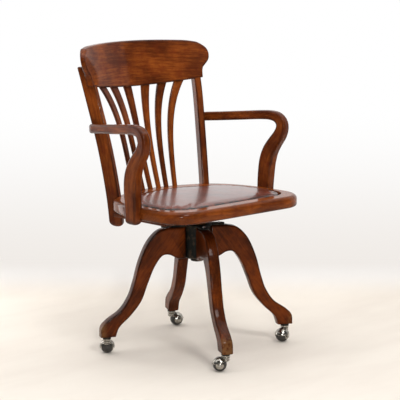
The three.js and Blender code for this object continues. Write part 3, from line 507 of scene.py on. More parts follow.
# %% Metals and rubber
def painted_iron():
    finish = Finish("painted_iron")
    here = finish.place()
    edge = finish.attribute("edge", "Fac")
    grit = finish.noise(here, 900, 4, 0.65)
    patch = finish.noise(here, 60, 4, 0.6)
    body = finish.blend(patch.between(0.4, 0.7), colour(14, 17, 15), colour(27, 27, 22))
    body = finish.blend(edge * patch.between(0.5, 0.62) * 0.6, body, colour(70, 56, 42))
    return finish.set(base_color=body, metallic=0.2, roughness=0.42 + patch * 0.3, specular_ior_level=0.2,
                      normal=finish.bump(grit, 0.0003, 0.5))


def metal(name, shade, spot, rough, spots=0.64, reach=0.3):
    """spots is how rare the specks are, and reach how far the spots' colour has spread."""
    finish = Finish(name)
    here = finish.place()
    haze = finish.noise(here, 120, 4, 0.6)
    specks = finish.noise(here, 700, 3, 0.7).between(spots, spots + 0.08)
    lines = finish.noise(here.stretched(1, 1, 14), 260, 2, 0.5)
    body = finish.blend(haze.between(0.35, 0.75) * reach, shade, spot)
    body = finish.blend(specks * 0.6, body, spot)
    return finish.set(base_color=body, metallic=1.0, roughness=rough + haze * 0.16 + specks * 0.3,
                      normal=finish.bump(lines * 0.4 + specks, 0.00004, 0.4))


def rubber():
    finish = Finish("grey_rubber")
    here = finish.place()
    dust = finish.noise(here, 85, 4, 0.6).between(0.4, 0.72)
    grit = finish.noise(here, 1300, 3, 0.6)
    body = finish.blend(dust * 0.5, colour(40, 38, 35), colour(84, 78, 70))
    return finish.set(base_color=body, roughness=0.5 + dust * 0.3, normal=finish.bump(grit, 0.00015, 0.5))


IRON = painted_iron()
STEEL = metal("turned_steel", colour(176, 178, 180), colour(110, 96, 84), 0.26)
CHROME = metal("aged_chrome", colour(176, 172, 164), colour(88, 78, 60), 0.13, 0.6, 0.6)
BRASS = metal("brass_washer", colour(104, 78, 40), colour(52, 40, 24), 0.4)
RUBBER = rubber()
print("metals and rubber:", [finish.name for finish in (IRON, STEEL, CHROME, BRASS, RUBBER)])

# %% [markdown]
# ## Polished leather and bare plywood
#
# Old seat leather is polished by use, over a fine pebble. The colour is a red brown that has gone darker in
# the creases, with faint lighter streaks from front to back, which are wear from rubbing with a painted
# sheen.
# The groove round the pad is painted dark as shade; it is the only low place on it, so height tells it apart.

# %% Leather and plywood
SEAM_SHADE_FROM, SEAM_SHADE_TO = 0.0002, 0.0022  # metres above the seat, over which the painted shade in the groove ends


def leather(top):
    """top is the height of the seat's upper face."""
    finish = Finish("polished_leather")
    here = finish.place()
    pebble = finish.node("ShaderNodeTexVoronoi", {"feature": "DISTANCE_TO_EDGE"}, {
        "Vector": here, "Scale": 620, "Randomness": 1}).between(0, 0.16)
    rubbed_sheen = finish.noise(here.stretched(1, 0.16, 1), 42, 4, 0.6)
    patch = finish.noise(here, 11, 4, 0.55)
    crease = finish.noise(here, 30, 6, 0.7, 1.4)
    body = finish.blend(patch.between(0.35, 0.68), colour(112, 50, 32), colour(84, 34, 22))
    # lighter streaks from front to back: wear from rubbing, with a painted sheen
    body = finish.blend(rubbed_sheen.between(0.48, 0.72) * 0.4, body, colour(146, 78, 54))
    body = finish.blend(crease.between(0.62, 0.74) * 0.5, body, colour(48, 20, 14))
    # painted shade in the low groove round the pad, broken by noise
    seam_shade = 1 - here.height().between(top + SEAM_SHADE_FROM, top + SEAM_SHADE_TO)
    body = finish.blend(seam_shade * finish.noise(here, 75, 3, 0.6).between(0.38, 0.56), body, colour(16, 8, 5))
    rough = 0.3 + rubbed_sheen * 0.16 - patch * 0.08
    polish = (0.55 + patch * 0.35) * (1 - seam_shade * 0.9)
    normal = finish.bump(pebble * 0.6 + crease * 0.5, 0.00022, 0.35,
                         finish.bump(finish.noise(here, 16, 2), 0.004, 0.22))
    return finish.set(base_color=body, roughness=rough, coat_weight=polish, coat_roughness=0.18,
                      normal=normal)


def plywood():
    finish = Finish("bare_plywood")
    here = finish.place()
    plies = finish.node("ShaderNodeTexWave", {"bands_direction": "Z"}, {
        "Vector": here, "Scale": 190, "Distortion": 0.4}, 1)
    fibre = finish.noise(here.stretched(0.05, 1, 1), 300, 3)
    body = finish.blend(plies, colour(150, 116, 78), colour(176, 142, 98))
    body = finish.blend(fibre.between(0.45, 0.7) * 0.4, body, colour(112, 80, 50))
    return finish.set(base_color=body, roughness=0.72, normal=finish.bump(fibre, 0.0002, 0.5))


PLYWOOD = plywood()
print("nodes in the plywood:", len(PLYWOOD.node_tree.nodes))

# %% [markdown]
# ## The back posts
#
# Each post is a flat stick, bent outwards and backwards, and turned a little towards the front of the seat.
# Its foot is domed below the seat. A box with a bend modifier could be used, but a loft can also draw its
# section in at the dome. Few measured points give the bend, and the curve between them does the rest.

# %% Posts
SEAT_TOP, SEAT_BOTTOM = 446, 412
SIDES = {"right": -1, "left": 1}
POST_OUT, POST_SPLAY, POST_BACK, POST_RAKE, POST_TWIST = 176, 37, 147, 93, -26
POST_BOTTOM, POST_TOP, POST_WIDTH, POST_DEPTH = SEAT_BOTTOM - 52, 813, 21, 40
POST_FOOT_DOME, POST_HEAD_DOME, POST_ROUNDING = 15, 4, 4
# shares of the post's height, splay and rake at each measured point
POST_BEND = [(0, 0, 0), (0.182, 0.09, 0.1), (0.484, 0.365, 0.355), (0.804, 0.8, 0.72), (1, 1, 1)]


def domed_run(length, foot, count, top):
    """Distances along a stick, closer together over its domed ends, with the inset at each."""
    def dome(size):
        return [(size * run, size * inset) for run, inset in over_edge(shares(4))]
    middle = [(mix(foot, length - top, share), 0) for share in shares(count)[1:-1]]
    return dome(foot) + middle + [(length - run, inset) for run, inset in reversed(dome(top))]


def mirrored(vector, sign):
    return Vector((sign * vector.x, vector.y, vector.z))


def post(sign):
    at, length = walk(curve([(POST_OUT + POST_SPLAY * flare, POST_BACK + POST_RAKE * rake,
                              mix(POST_BOTTOM, POST_TOP, height)) for height, flare, rake in POST_BEND]))
    turn = Matrix.Rotation(math.radians(POST_TWIST), 3, "Z")
    across, along = turn @ Vector((1, 0, 0)), turn @ Vector((0, 1, 0))
    stations = []
    for run, inset in domed_run(length, POST_FOOT_DOME, 44, POST_HEAD_DOME):
        spot, _ = at(run / length)
        narrower = (1.8 if run < POST_FOOT_DOME else 2) * min(inset, 9.5)
        stations.append((mirrored(spot, sign), mirrored(across, sign), mirrored(along, sign),
                         POST_WIDTH - narrower, POST_DEPTH - 2 * inset, run))
    return stick(stations, POST_ROUNDING)


for number, (side, sign) in enumerate(SIDES.items(), 1):
    place(f"back_post_{side}", post(sign), "seat", [f"post_{side}"], OAK, number=number,
          tone=0.3)

# %% [markdown]
# ## The crest rail
#
# The crest rail is a board bent to a wide arc, leaning back, with rounded ears past the posts. It could be
# sawn flat and then bent, but the ears' edges would need their rounding by hand. The loft follows the arc
# instead: at each distance from the middle the rail has a lower and an upper edge, and the section between
# them is a rounded rectangle.

# %% Crest rail
CREST_RADIUS, CREST_FRONT, CREST_DATUM, CREST_LEAN = 450, 251, 757, 0.28
CREST_LOW, CREST_HIGH, CREST_THICKNESS, CREST_ROUNDING = 744, 875, 21, 5
CREST_ARCH, CREST_CROWN = 15, 7
SHOULDER, HALF_LENGTH, TIP_THICKNESS = 223, 254.5, 14.5
EAR_FROM = SHOULDER + 0.3
# shares of the ear's length, and of the rail's height at its lower and its upper edge
EAR = [(0, 0.12, 0.922), (0.08, 0.25, 0.915), (0.21, 0.34, 0.9), (0.35, 0.378, 0.882), (0.48, 0.408, 0.862),
       (0.7, 0.46, 0.824), (0.87, 0.513, 0.782), (0.96, 0.56, 0.742), (1, 0.61, 0.7)]


def crest_point(u, height, depth):
    """A place on the leaning arc: u runs along it from the middle, and depth goes back from its front."""
    angle, radius = u / CREST_RADIUS, CREST_RADIUS + depth
    return Vector((radius * math.sin(angle), CREST_FRONT - CREST_RADIUS + radius * math.cos(angle)
                   + CREST_LEAN * (height - CREST_DATUM), height))


def lower_edge(share):
    return CREST_LOW + CREST_ARCH * share ** 2


def crest_edges():
    """(distance, lower edge, upper edge, thickness) from the middle to the tip of the ear."""
    stations = []
    ear_top = mix(CREST_LOW, CREST_HIGH, EAR[0][2])
    for share in shares(40):
        drop = max(0, (share - 0.8) / 0.2) ** 2 * (CREST_HIGH - CREST_CROWN - ear_top)
        stations.append((share * SHOULDER, lower_edge(share), CREST_HIGH - CREST_CROWN * share ** 2 - drop,
                         CREST_THICKNESS))
    ear = curve(EAR)
    for share in shares(32):
        run, low, high = ear(share)
        stations.append((mix(EAR_FROM, HALF_LENGTH, run), mix(CREST_LOW, CREST_HIGH, low),
                         mix(CREST_LOW, CREST_HIGH, high), mix(CREST_THICKNESS, TIP_THICKNESS, run)))
    return stations


def crest():
    half = crest_edges()
    whole = [(-u, *rest) for u, *rest in reversed(half[1:])] + half
    rings, straight = [], []
    for u, low, high, thickness in whole:
        outline = rounded(high - low, thickness, CREST_ROUNDING)
        middle = (low + high) / 2
        rings.append([crest_point(u, middle + up, thickness / 2 + deep) for up, deep in outline])
        straight.append([(middle + up, deep, u) for up, deep in outline])
    return loft(rings, straight)


place("crest_board", crest(), "seat", ["crest_rail"], OAK, number=4, tone=0.38)

# %% [markdown]
# ## The fanned slats
#
# The slats stand close together on the seat and sweep apart under the crest rail, wider and wider. The outer
# pair sweeps most. One slat could be copied and turned, but each has its own sweep, and turns as it rises so
# that its head lies against the bend of the rail. So one function makes all six from where foot and head are.

# %% Slats
SLAT_SINK, SLAT_THICKNESS, SLAT_SETBACK, SLAT_BACK = 9, 8, 13, 178
SLAT_FOOT_WIDTH, SLAT_HEAD_WIDTH, SLAT_ROUNDING = 15, 32, 2.2
FEET_AND_HEADS = [(16, 36), (46, 97), (80, 155)]  # how far out, from the inner pair to the outer
SLATS = [(-1, 2), (-1, 1), (-1, 0), (1, 0), (1, 1), (1, 2)]  # side and pair
SLAT_TONES = [0.1, 0.3, 0.2, 1, 0.05, 0.8]


def slat(side, foot_out, head_out):
    foot = SEAT_TOP - SLAT_SINK
    head = lower_edge(head_out / SHOULDER) + SLAT_SINK
    top = crest_point(head_out, head, SLAT_SETBACK)
    stations = []
    for share in shares(40):
        sweep = 0.25 * share + 0.75 * share ** 4
        spot = Vector((side * mix(foot_out, top.x, sweep),
                       mix(SLAT_BACK, top.y, 1.3 * share - 0.3 * share ** 2), mix(foot, head, share)))
        turn = Matrix.Rotation(-side * share * head_out / CREST_RADIUS, 3, "Z")
        width = mix(SLAT_FOOT_WIDTH, SLAT_HEAD_WIDTH, 0.3 * share + 0.7 * share ** 4)
        stations.append((spot, turn @ Vector((1, 0, 0)), turn @ Vector((0, 1, 0)), width, SLAT_THICKNESS,
                         (head - foot) * share))
    return stick(stations, SLAT_ROUNDING, 3)


for number, ((side, pair), tone) in enumerate(zip(SLATS, SLAT_TONES), 1):
    place(f"fan_slat_{number}", slat(side, *FEET_AND_HEADS[pair]), "seat", [f"slat_{number}"], OAK,
          number=10 + number, tone=tone)
print("slats:", len(SLATS))

# %% [markdown]
# ## The bent arms
#
# An arm is one stick from the outside of the post to the seat's edge. It runs forward almost level, turns
# down over a round knuckle, and grows deeper as it comes down beside the seat. A profile swept along a curve
# would keep one section all the way, so the loft is given a width and a depth at every station.

# %% Arms
# shares of the arm's length, of its rise, and of its growth in width and depth
ARM_SHARES = [
    (0, 0.905, 0), (0.225, 0.93, 0), (0.511, 0.965, 0), (0.761, 0.995, 0), (0.87, 0.997, 0.05),
    (0.946, 0.972, 0.15), (0.992, 0.909, 0.25), (1, 0.831, 0.35), (0.971, 0.735, 0.5),
    (0.904, 0.621, 0.65), (0.846, 0.502, 0.85), (0.812, 0.361, 1), (0.8, 0.201, 1), (0.797, 0, 0.9),
]
ARM_BACK_OUT, KNUCKLE_OUT, ARM_FOOT_OUT, ARM_BACK = 220, 272, 262, 204
ARM_LENGTH, ARM_RISE, ARM_BOTTOM, ARM_FOOT_GAIN, KNUCKLE = 281, 215, 398, 0.75, 0.8
ARM_WIDTHS, ARM_DEPTHS, ARM_DOME, ARM_ROUNDING = (25, 30), (26.5, 48), 11, 6.5


def arm_path():
    places = []
    for run, rise, _ in ARM_SHARES:
        out = (mix(ARM_BACK_OUT, KNUCKLE_OUT, run) if rise > KNUCKLE
               else mix(ARM_FOOT_OUT, KNUCKLE_OUT, rise / KNUCKLE))
        places.append(Vector((out, ARM_BACK - run * ARM_LENGTH, SEAT_TOP + rise * ARM_RISE)))
    places.append(Vector((places[-1].x, places[-1].y, ARM_BOTTOM)))
    return places


def arm(sign):
    path = curve(arm_path())
    at, length = walk(path)
    gains = [gain for _, _, gain in ARM_SHARES] + [ARM_FOOT_GAIN]
    # the gain in depth is known at the measured points, so their places along the walk are found first
    marks = [0.0]
    for part in range(len(gains) - 1):
        steps = [path((part + share) / (len(gains) - 1)) for share in shares(20)]
        marks.append(marks[-1] + sum((b - a).length for a, b in zip(steps, steps[1:])))
    gain_at = curve([(mark / marks[-1], gain, 0) for mark, gain in zip(marks, gains)])
    table = [gain_at(share) for share in shares(300)]
    stations = []
    for run, inset in domed_run(length, ARM_DOME, 84, ARM_DOME):
        share = run / length
        spot, tangent = at(share)
        gain = min(table, key=lambda row: abs(row.x - share)).y
        side = Vector((1, (1 - gain) * (KNUCKLE_OUT - ARM_BACK_OUT) / ARM_LENGTH, 0))
        outward = (side - tangent * side.dot(tangent)).normalized()
        across = tangent.cross(outward)
        stations.append((mirrored(spot, sign), mirrored(outward, sign), mirrored(across, sign),
                         mix(*ARM_WIDTHS, gain) - 2 * inset, mix(*ARM_DEPTHS, gain) - 2 * inset, run))
    return stick(stations, ARM_ROUNDING, 5)


for number, (side, sign) in enumerate(SIDES.items(), 21):
    place(f"bent_arm_{side}", arm(sign), "seat", [f"arm_{side}"], OAK, number=number, tone=0.35)
print("arms:", len(ARM_SHARES), "measured points each")

# %% [markdown]
# ## The plank seat and its battens
#
# The seat is a thick plank with a straight front, wide round corners and a back that narrows and bows. Its
# upper edge is rounded over, and a shallow recess is sunk into the top to take the leather pad. The recess
# could be cut out with a boolean, but its thin rim would shade badly. So the rings of one loft go up the
# outside, over the rim and down into the recess.

# %% Seat outline
SEAT_HALF, SEAT_FRONT, SEAT_BACK, BACK_HALF, CORNER_RADIUS, BACK_CORNER = 258, 198, 206, 150, 84, 36


def arc_points(centre, radius, start, end, count):
    angles = [mix(start, end, share) for share in shares(count)]
    return [(centre[0] + radius * math.cos(angle), centre[1] + radius * math.sin(angle)) for angle in angles]


def bezier(points, count):
    """Points of a Bezier curve of any order, without its first one."""
    made = []
    for share in shares(count)[1:]:
        level = [Vector(point) for point in points]
        while len(level) > 1:
            level = [a.lerp(b, share) for a, b in zip(level, level[1:])]
        made.append(tuple(level[0]))
    return made


def seat_outline(front_in, side_in, back_in):
    """The plank's outline, drawn in by its own amount at the front, the sides and the back."""
    half, front, back = SEAT_HALF - side_in, SEAT_FRONT - front_in, SEAT_BACK - back_in
    back_half, radius = BACK_HALF - side_in * 0.5, CORNER_RADIUS - side_in * 0.5
    corner_top, back_corner = radius - front, back - BACK_CORNER
    side_end = mix(corner_top, back, 0.5)
    path = [(share * (half - radius), -front) for share in shares(5)[:-1]]
    path += arc_points((half - radius, radius - front), radius, -QUARTER, 0, 22)
    path += [(half, mix(corner_top, side_end, share)) for share in (0.25, 0.5)]
    path += bezier([path[-1], (half, side_end),
                    (mix(half, back_half, 0.35), mix(side_end, back_corner, 0.82)),
                    (back_half, back_corner)], 18)
    path += bezier([(back_half, back_corner), (back_half * 0.5, back), (0, back)], 12)
    return path + [(-x, y) for x, y in reversed(path[1:-1])]


def at_height(outline, height):
    return [Vector((x, y, height)) for x, y in outline]


print("corners of the seat's outline:", len(seat_outline(0, 0, 0)))

# %% Plank seat
RECESS = (44, 30, 54)  # from the front, the sides and the back
RECESS_FLOOR = SEAT_TOP - 11
LOWER_EDGE, UPPER_EDGE_IN, UPPER_EDGE_DOWN, RIM_EDGE = 6, 11, 13, 2
FLAT_FROM, FLAT_TO = 14, 4  # support points, from the outside and before the recess


def plank():
    levels = [((LOWER_EDGE * draw,) * 3, SEAT_BOTTOM + LOWER_EDGE * rise)
              for rise, draw in over_edge(shares(4))]
    levels += [((UPPER_EDGE_IN * draw,) * 3, SEAT_TOP - UPPER_EDGE_DOWN * drop)
               for draw, drop in over_edge((0, 0.17, 0.33, 0.5, 0.67, 0.83, 1))]
    levels += [((FLAT_FROM,) * 3, SEAT_TOP), (tuple(inset - FLAT_TO for inset in RECESS), SEAT_TOP)]
    levels += [(tuple(inset - RIM_EDGE * draw for inset in RECESS), SEAT_TOP - RIM_EDGE * drop)
               for drop, draw in over_edge((0, 0.33, 0.67, 1))]
    levels.append((RECESS, RECESS_FLOOR))
    rings = [at_height(seat_outline(*insets), height) for insets, height in levels]
    return loft(rings, [[(spot.y, spot.z, spot.x) for spot in ring] for ring in rings])


place("plank_seat", plank(), "seat", ["seat_plank"], OAK, number=30, tone=0.7)

# %% Battens under the seat
BATTEN_OUT, BATTEN_FRONT, BATTEN_BACK, BATTEN_HALF = 188, -90, 125, 20
BATTEN_BOTTOM, BATTEN_TOP, BATTEN_ROUNDING = 393.7, 411.7, 2.5


def batten(centre):
    outline = [(BATTEN_FRONT, -BATTEN_HALF), (BATTEN_BACK, -BATTEN_HALF), (BATTEN_BACK, BATTEN_HALF),
               (BATTEN_FRONT, BATTEN_HALF)]
    form = board(outline, BATTEN_BOTTOM, BATTEN_TOP, BATTEN_ROUNDING)
    return moved(form, Matrix.Translation((centre, 0, 0)) @ Matrix.Rotation(QUARTER, 4, "Z"))


for number, (side, sign) in enumerate(SIDES.items(), 32):
    place(f"seat_batten_{side}", batten(sign * BATTEN_OUT), "seat", [f"batten_{side}"], OAK_LEG,
          number=number)

# %% [markdown]
# ## The leather pad
#
# A thin board carries the pad, and the leather is drawn over its edge. A rounded board alone would look
# hard. So the pad is shaped a little too small and then blown up with a cloth simulation, which gives it the
# soft crown of a real seat. No point may move more than a few millimetres, so it stays in its recess.

# %% Pad board and pad
GAP = 0.3  # between pieces that lie on each other
BACKING_BOTTOM, BACKING_TOP, BACKING_IN, BACKING_ROUNDING = RECESS_FLOOR + GAP, RECESS_FLOOR + 5.3, 6, 0.6
PAD_CLEARANCE, PAD_UNDERCUT, PAD_WALL, PAD_ROUNDING, PAD_RISE = 3.2, 1.6, 2.7, 5.5, 1.5
PAD_TOO_SMALL, PAD_CROWN, PAD_MIDDLE = 1.2, 4, 4


def pad_levels():
    """Rings from the pad's underside, over its rounded edge, to the middle of its crown."""
    bottom = BACKING_TOP + GAP
    edge = [inset + PAD_CLEARANCE + PAD_TOO_SMALL for inset in RECESS]
    top = SEAT_TOP + PAD_RISE - PAD_TOO_SMALL * 0.5

    def ring(draw, height):
        return at_height(seat_outline(*(inset + draw for inset in edge)), height)

    rings = [ring(PAD_UNDERCUT, bottom), ring(0, bottom + PAD_WALL)]
    rings += [ring(PAD_ROUNDING * draw, top - PAD_ROUNDING * drop)
              for draw, drop in over_edge((0.25, 0.6, 1))]
    for share in (0.94, 0.84, 0.7, 0.52, 0.32, 0.12):
        height = top + PAD_CROWN * (1 - share ** 2.2)
        rings.append([Vector((spot.x * share, mix(PAD_MIDDLE, spot.y, share), height))
                      for spot in ring(PAD_ROUNDING, top)])
    return rings


backing = board(seat_outline(*(inset + BACKING_IN for inset in RECESS)), BACKING_BOTTOM, BACKING_TOP,
                BACKING_ROUNDING)
place("pad_backing", backing, "seat", ["pad_board"], PLYWOOD)
levels = pad_levels()
pad = place("leather_pad", loft(levels, levels), "seat", ["seat_pad"], leather(SEAT_TOP * MM),
            sharp=180)
print("rings of the pad:", len(levels))

# %% Blow up the leather
VOXEL, HELD, MOST, PRESSURE, FRAMES, QUALITY = 0.0045, 0.003, 0.003, 4, 20, 6


def inflate(piece):
    """Remeshes a closed piece and blows it up with the cloth solver. Its underside is held."""
    remesh = piece.modifiers.new("remesh", "REMESH")
    remesh.mode = "VOXEL"
    remesh.voxel_size = VOXEL
    graph = bpy.context.evaluated_depsgraph_get()
    even = bpy.data.meshes.new_from_object(piece.evaluated_get(graph))
    piece.modifiers.clear()
    piece.data = even
    before = [corner.co.copy() for corner in even.vertices]
    floor = min(spot.z for spot in before)
    held = piece.vertex_groups.new(name="held")
    held.add([index for index, spot in enumerate(before) if spot.z < floor + HELD], 1, "REPLACE")
    cloth = piece.modifiers.new("cloth", "CLOTH")
    cloth.settings.use_pressure = True
    cloth.settings.uniform_pressure_force = PRESSURE
    cloth.settings.effector_weights.gravity = 0
    cloth.settings.vertex_group_mass = "held"
    cloth.settings.quality = QUALITY
    scene = bpy.context.scene
    for frame_number in range(1, FRAMES + 1):
        scene.frame_set(frame_number)
    graph = bpy.context.evaluated_depsgraph_get()
    after = [corner.co.copy() for corner in piece.evaluated_get(graph).data.vertices]
    piece.modifiers.clear()
    scene.frame_set(1)
    furthest = 0
    for corner, start, end in zip(even.vertices, before, after):
        push = end - start
        if push.length > MOST:
            push *= MOST / push.length
        corner.co = start + push
        furthest = max(furthest, push.length)
    print("pad:", len(even.vertices), "points, moved up to", round(furthest / MM, 1), "mm")


inflate(pad)
pad.data.shade_smooth()
smooth = pad.modifiers.new("smooth", "SUBSURF")
smooth.levels = smooth.render_levels = 1

# %% [markdown]
# ## The arched legs
#
# All four legs are sawn from one pattern: a flat top against the hub, a long arch outwards, and a foot that
# lifts its heel and kicks out its toe. A loft down the leg would pinch at the tight bend under the arch, so
# the board tool is used, as the saw does it. Its edges are rounded all round, and its grain runs down the
# leg.

# %% Legs
LEG_TURN, REACH, RISE, SOLE = -26.9, 292, 308, 51.1
LEG_HALF_THICKNESS, LEG_ROUNDING, LEG_GRAIN = 16, 4.5, -53
# shares of the reach and the rise, down the back of the leg and up its belly
LEG_BACK = [(0.3, 1), (0.4, 0.977), (0.506, 0.88), (0.596, 0.7), (0.655, 0.5), (0.703, 0.37), (0.79, 0.247),
            (0.93, 0.152), (0.984, 0.094), (0.993, 0)]
LEG_BELLY = [(0.843, 0), (0.809, 0.084), (0.693, 0.191), (0.584, 0.321), (0.519, 0.477), (0.44, 0.65),
             (0.36, 0.742), (0.295, 0.745), (0.21, 0.706), (0.13, 0.7)]


def leg_outline():
    def run(pairs, count):
        path = curve([(reach * REACH, SOLE + rise * RISE, 0) for reach, rise in pairs])
        return [path(share) for share in shares(count)]
    inner_top = Vector((LEG_BELLY[-1][0] * REACH, SOLE + RISE, 0))
    return [(point.x, point.y) for point in (inner_top, *run(LEG_BACK, 52), *run(LEG_BELLY, 48))]


def turned_by(degrees):
    return Matrix.Rotation(math.radians(degrees), 4, "Z")


def leg(turn):
    form = board(leg_outline(), -LEG_HALF_THICKNESS, LEG_HALF_THICKNESS, LEG_ROUNDING, 4,
                 math.radians(LEG_GRAIN))
    return moved(form, turned_by(turn) @ Matrix.Rotation(QUARTER, 4, "X"))


def leg_turn(number):
    return LEG_TURN + (number - 2) * 90


for number in range(1, 5):
    place(f"arched_leg_{number}", leg(leg_turn(number)), "base", [f"leg_{number}"], OAK_LEG,
          number=40 + number)

# %% [markdown]
# ## The iron swivel
#
# A cast hub stands between the legs, with four arms that lie on their tops. The steel spindle turns in it on
# a brass washer and carries an iron spider, whose arms are screwed to the battens under the seat. Arms and
# barrel could be welded into one skin, but they only need to meet, so each casting is several forms in one
# mesh.

# %% Hub, spindle and spider
HUB_BOTTOM, HUB_TOP, HUB_BORE, HUB_BARREL, HUB_FLANGE = 266.7, 365.4, 14.5, 38, 42
HUB_ARM_BOTTOM, HUB_ARM_REACH, HUB_ARM_HALF = 359.4, 82, 12.5
SPIDER_BOTTOM, SPIDER_TOP, SPIDER_BORE, SPIDER_NECK, SPIDER_FLANGE = 368.5, 393.4, 11.6, 24, 38
SPIDER_ARM_BOTTOM, SPIDER_ARM_ROOT, SPIDER_ARM_TIP = 387.5, 14, 11.2
SPIDER_FEET = [(x, y) for x in (-BATTEN_OUT, BATTEN_OUT) for y in (-68, 68)]
SPINDLE_RADIUS, COLLAR_RADIUS, NUT_TOP, NUT_RADIUS = 11.2, 14, HUB_BOTTOM - GAP, 19
WASHER_BOTTOM, WASHER_TOP, WASHER_INNER, WASHER_OUTER = HUB_TOP + GAP, HUB_TOP + 2.8, 14.3, 26
IRON_ROUNDING = 1.2


def iron_arm(reach, root, tip, bottom, top, turn):
    """A flat arm: root is half its width at the axis, and tip half its width at its round end."""
    outline = [(0, -root)] + [(x + reach - tip, y) for x, y in arc_points((0, 0), tip, -QUARTER, QUARTER, 14)]
    return moved(board(outline + [(0, root)], bottom, top, IRON_ROUNDING, 3), turned_by(turn))


def hub():
    core = turned([(HUB_BORE, HUB_BOTTOM), (HUB_BARREL - 5, HUB_BOTTOM), (HUB_BARREL, HUB_BOTTOM + 5),
                   (HUB_BARREL, 358.9), (HUB_FLANGE, 359.6), (HUB_FLANGE, HUB_TOP), (HUB_BORE, HUB_TOP)], 64,
                  closed=True)
    arms = [iron_arm(HUB_ARM_REACH, HUB_ARM_HALF, HUB_ARM_HALF, HUB_ARM_BOTTOM, HUB_TOP - 0.2,
                     leg_turn(number)) for number in range(1, 5)]
    return joined(ease(core, 1.0), *arms)


def spider():
    core = turned([(SPIDER_BORE, SPIDER_BOTTOM), (SPIDER_NECK, SPIDER_BOTTOM), (SPIDER_NECK, 382),
                   (SPIDER_NECK + 3, 387), (SPIDER_FLANGE, SPIDER_TOP), (SPIDER_BORE, SPIDER_TOP)], 64,
                  closed=True)
    arms = [iron_arm(math.hypot(x, y) + SPIDER_ARM_TIP, SPIDER_ARM_ROOT, SPIDER_ARM_TIP, SPIDER_ARM_BOTTOM,
                     SPIDER_TOP - 0.1, math.degrees(math.atan2(y, x))) for x, y in SPIDER_FEET]
    return joined(ease(core, 1.0), *arms)


spindle = turned([(0, NUT_TOP - 11.25), (9.5, NUT_TOP - 11.25), (SPINDLE_RADIUS, NUT_TOP - 9.5),
                  (SPINDLE_RADIUS, HUB_BOTTOM), (COLLAR_RADIUS, HUB_BOTTOM), (COLLAR_RADIUS, SPIDER_BOTTOM),
                  (SPINDLE_RADIUS, SPIDER_BOTTOM), (SPINDLE_RADIUS, SPIDER_TOP - GAP), (0, SPIDER_TOP - GAP)])
nut = turned([(11.5, NUT_TOP - 9), (NUT_RADIUS - 1.5, NUT_TOP - 9), (NUT_RADIUS, NUT_TOP - 7.5),
              (NUT_RADIUS, NUT_TOP), (11.5, NUT_TOP)], closed=True)
washer = turned([(WASHER_INNER, WASHER_BOTTOM), (WASHER_OUTER, WASHER_BOTTOM), (WASHER_OUTER, WASHER_TOP),
                 (WASHER_INNER, WASHER_TOP)], 64, closed=True)
place("cast_hub", hub(), "base", ["hub_casting"], IRON)
place("cast_spider", spider(), "seat", ["seat_spider"], IRON)
place("turned_spindle", ease(spindle, 0.5), "seat", ["spindle"], STEEL)
place("lock_nut", ease(nut, 0.6), "seat", ["spindle_nut"], IRON)
place("brass_ring", ease(washer, 0.4), "base", ["thrust_washer"], BRASS)

# %% [markdown]
# ## Wood screws
#
# Round-headed screws hold the hub's arms to the legs and the spider's arms to the battens. Each is a turned
# dome with a slot pressed into it: two cuts mark the slot's sides, and what lies between them is pushed
# down. A boolean would do it too, but slower. No two slots line up, as on screws that were driven by hand.

# %% Screws
HUB_SCREW, HUB_SCREW_REACH, SPIDER_SCREW, SPIDER_SCREW_SHIFTS = 4.6, 66, 4.2, (0, -26)
DOME_RISE, SLOT_HALF, SLOT_DEPTH, SHANK = 0.62, 0.14, 0.34, 1.5  # the first three are shares of the radius


def screw(radius, up, spot, turn):
    """A slotted round head. up is 1 for a head that points up and -1 for one that points down."""
    dome = [(radius * math.cos(share * QUARTER), radius * DOME_RISE * math.sin(share * QUARTER))
            for share in shares(8)]
    form = turned([(0, -SHANK), (radius, -SHANK), *dome[:-1], (0, radius * DOME_RISE)], 32)
    for side in (-1, 1):
        bmesh.ops.bisect_plane(form, geom=form.verts[:] + form.edges[:] + form.faces[:], dist=1e-4,
                               plane_co=(side * radius * SLOT_HALF, 0, 0), plane_no=(side, 0, 0))
    for corner in form.verts:
        if abs(corner.co.x) < radius * (SLOT_HALF + 0.01) and corner.co.z > 0.1:
            corner.co.z = max(corner.co.z - radius * SLOT_DEPTH, 0.05)
    base = Matrix.Translation(spot) @ turned_by(turn)
    if up < 0:
        base = base @ Matrix.Rotation(math.pi, 4, "X")
    return moved(form, base)


hub_screws = []
for number in range(1, 5):
    spot = turned_by(leg_turn(number)) @ Vector((HUB_SCREW_REACH, 0, HUB_TOP - 0.2))
    hub_screws.append(screw(HUB_SCREW, 1, spot, 37 * number))
place("hub_screws", joined(*hub_screws), "base", [], STEEL, sharp=30)
spider_screws = []
for count, (x, y) in enumerate(SPIDER_FEET):
    for shift in SPIDER_SCREW_SHIFTS:
        inwards = 1 + shift / math.hypot(x, y)
        spider_screws.append(screw(SPIDER_SCREW, -1, (x * inwards, y * inwards, SPIDER_ARM_BOTTOM),
                                   53 * count + 20 * shift))
place("spider_screws", joined(*spider_screws), "seat", [], STEEL, sharp=30)
print("screws:", len(hub_screws), "in the hub,", len(spider_screws), "in the spider")

# %% [markdown]
# ## The ball casters
#
# Each caster is a rubber ball of a wheel under a tilted chrome hood. The hood is a thin dome, cut by a plane
# and given a wall, with a neck that swings on a stem in the foot of the leg. A turned bowl would be simpler,
# but the cheeks on both sides of the wheel can only be cut out of a ball.

# %% The hood
WHEEL, TRAIL, FOOT_RADIUS = 19.3, 16, 270
HEADINGS = [136, -162, -25, 46]  # where each caster points, in degrees
NECK_BOTTOM, HORN_TOP, COLLAR = 27, 41, 4.5
HOOD_INNER, HOOD_OUTER, HOOD_TILT, HOOD_CUT = WHEEL + 1, WHEEL + 2.2, 13, 6.6
CHEEK_HALF, CHEEK_TOP, CHEEK_FROM = 7, 6.4, 8
BEAD_BALL, BEAD, BEAD_RISE = WHEEL + 1.7, 0.9, 6.9


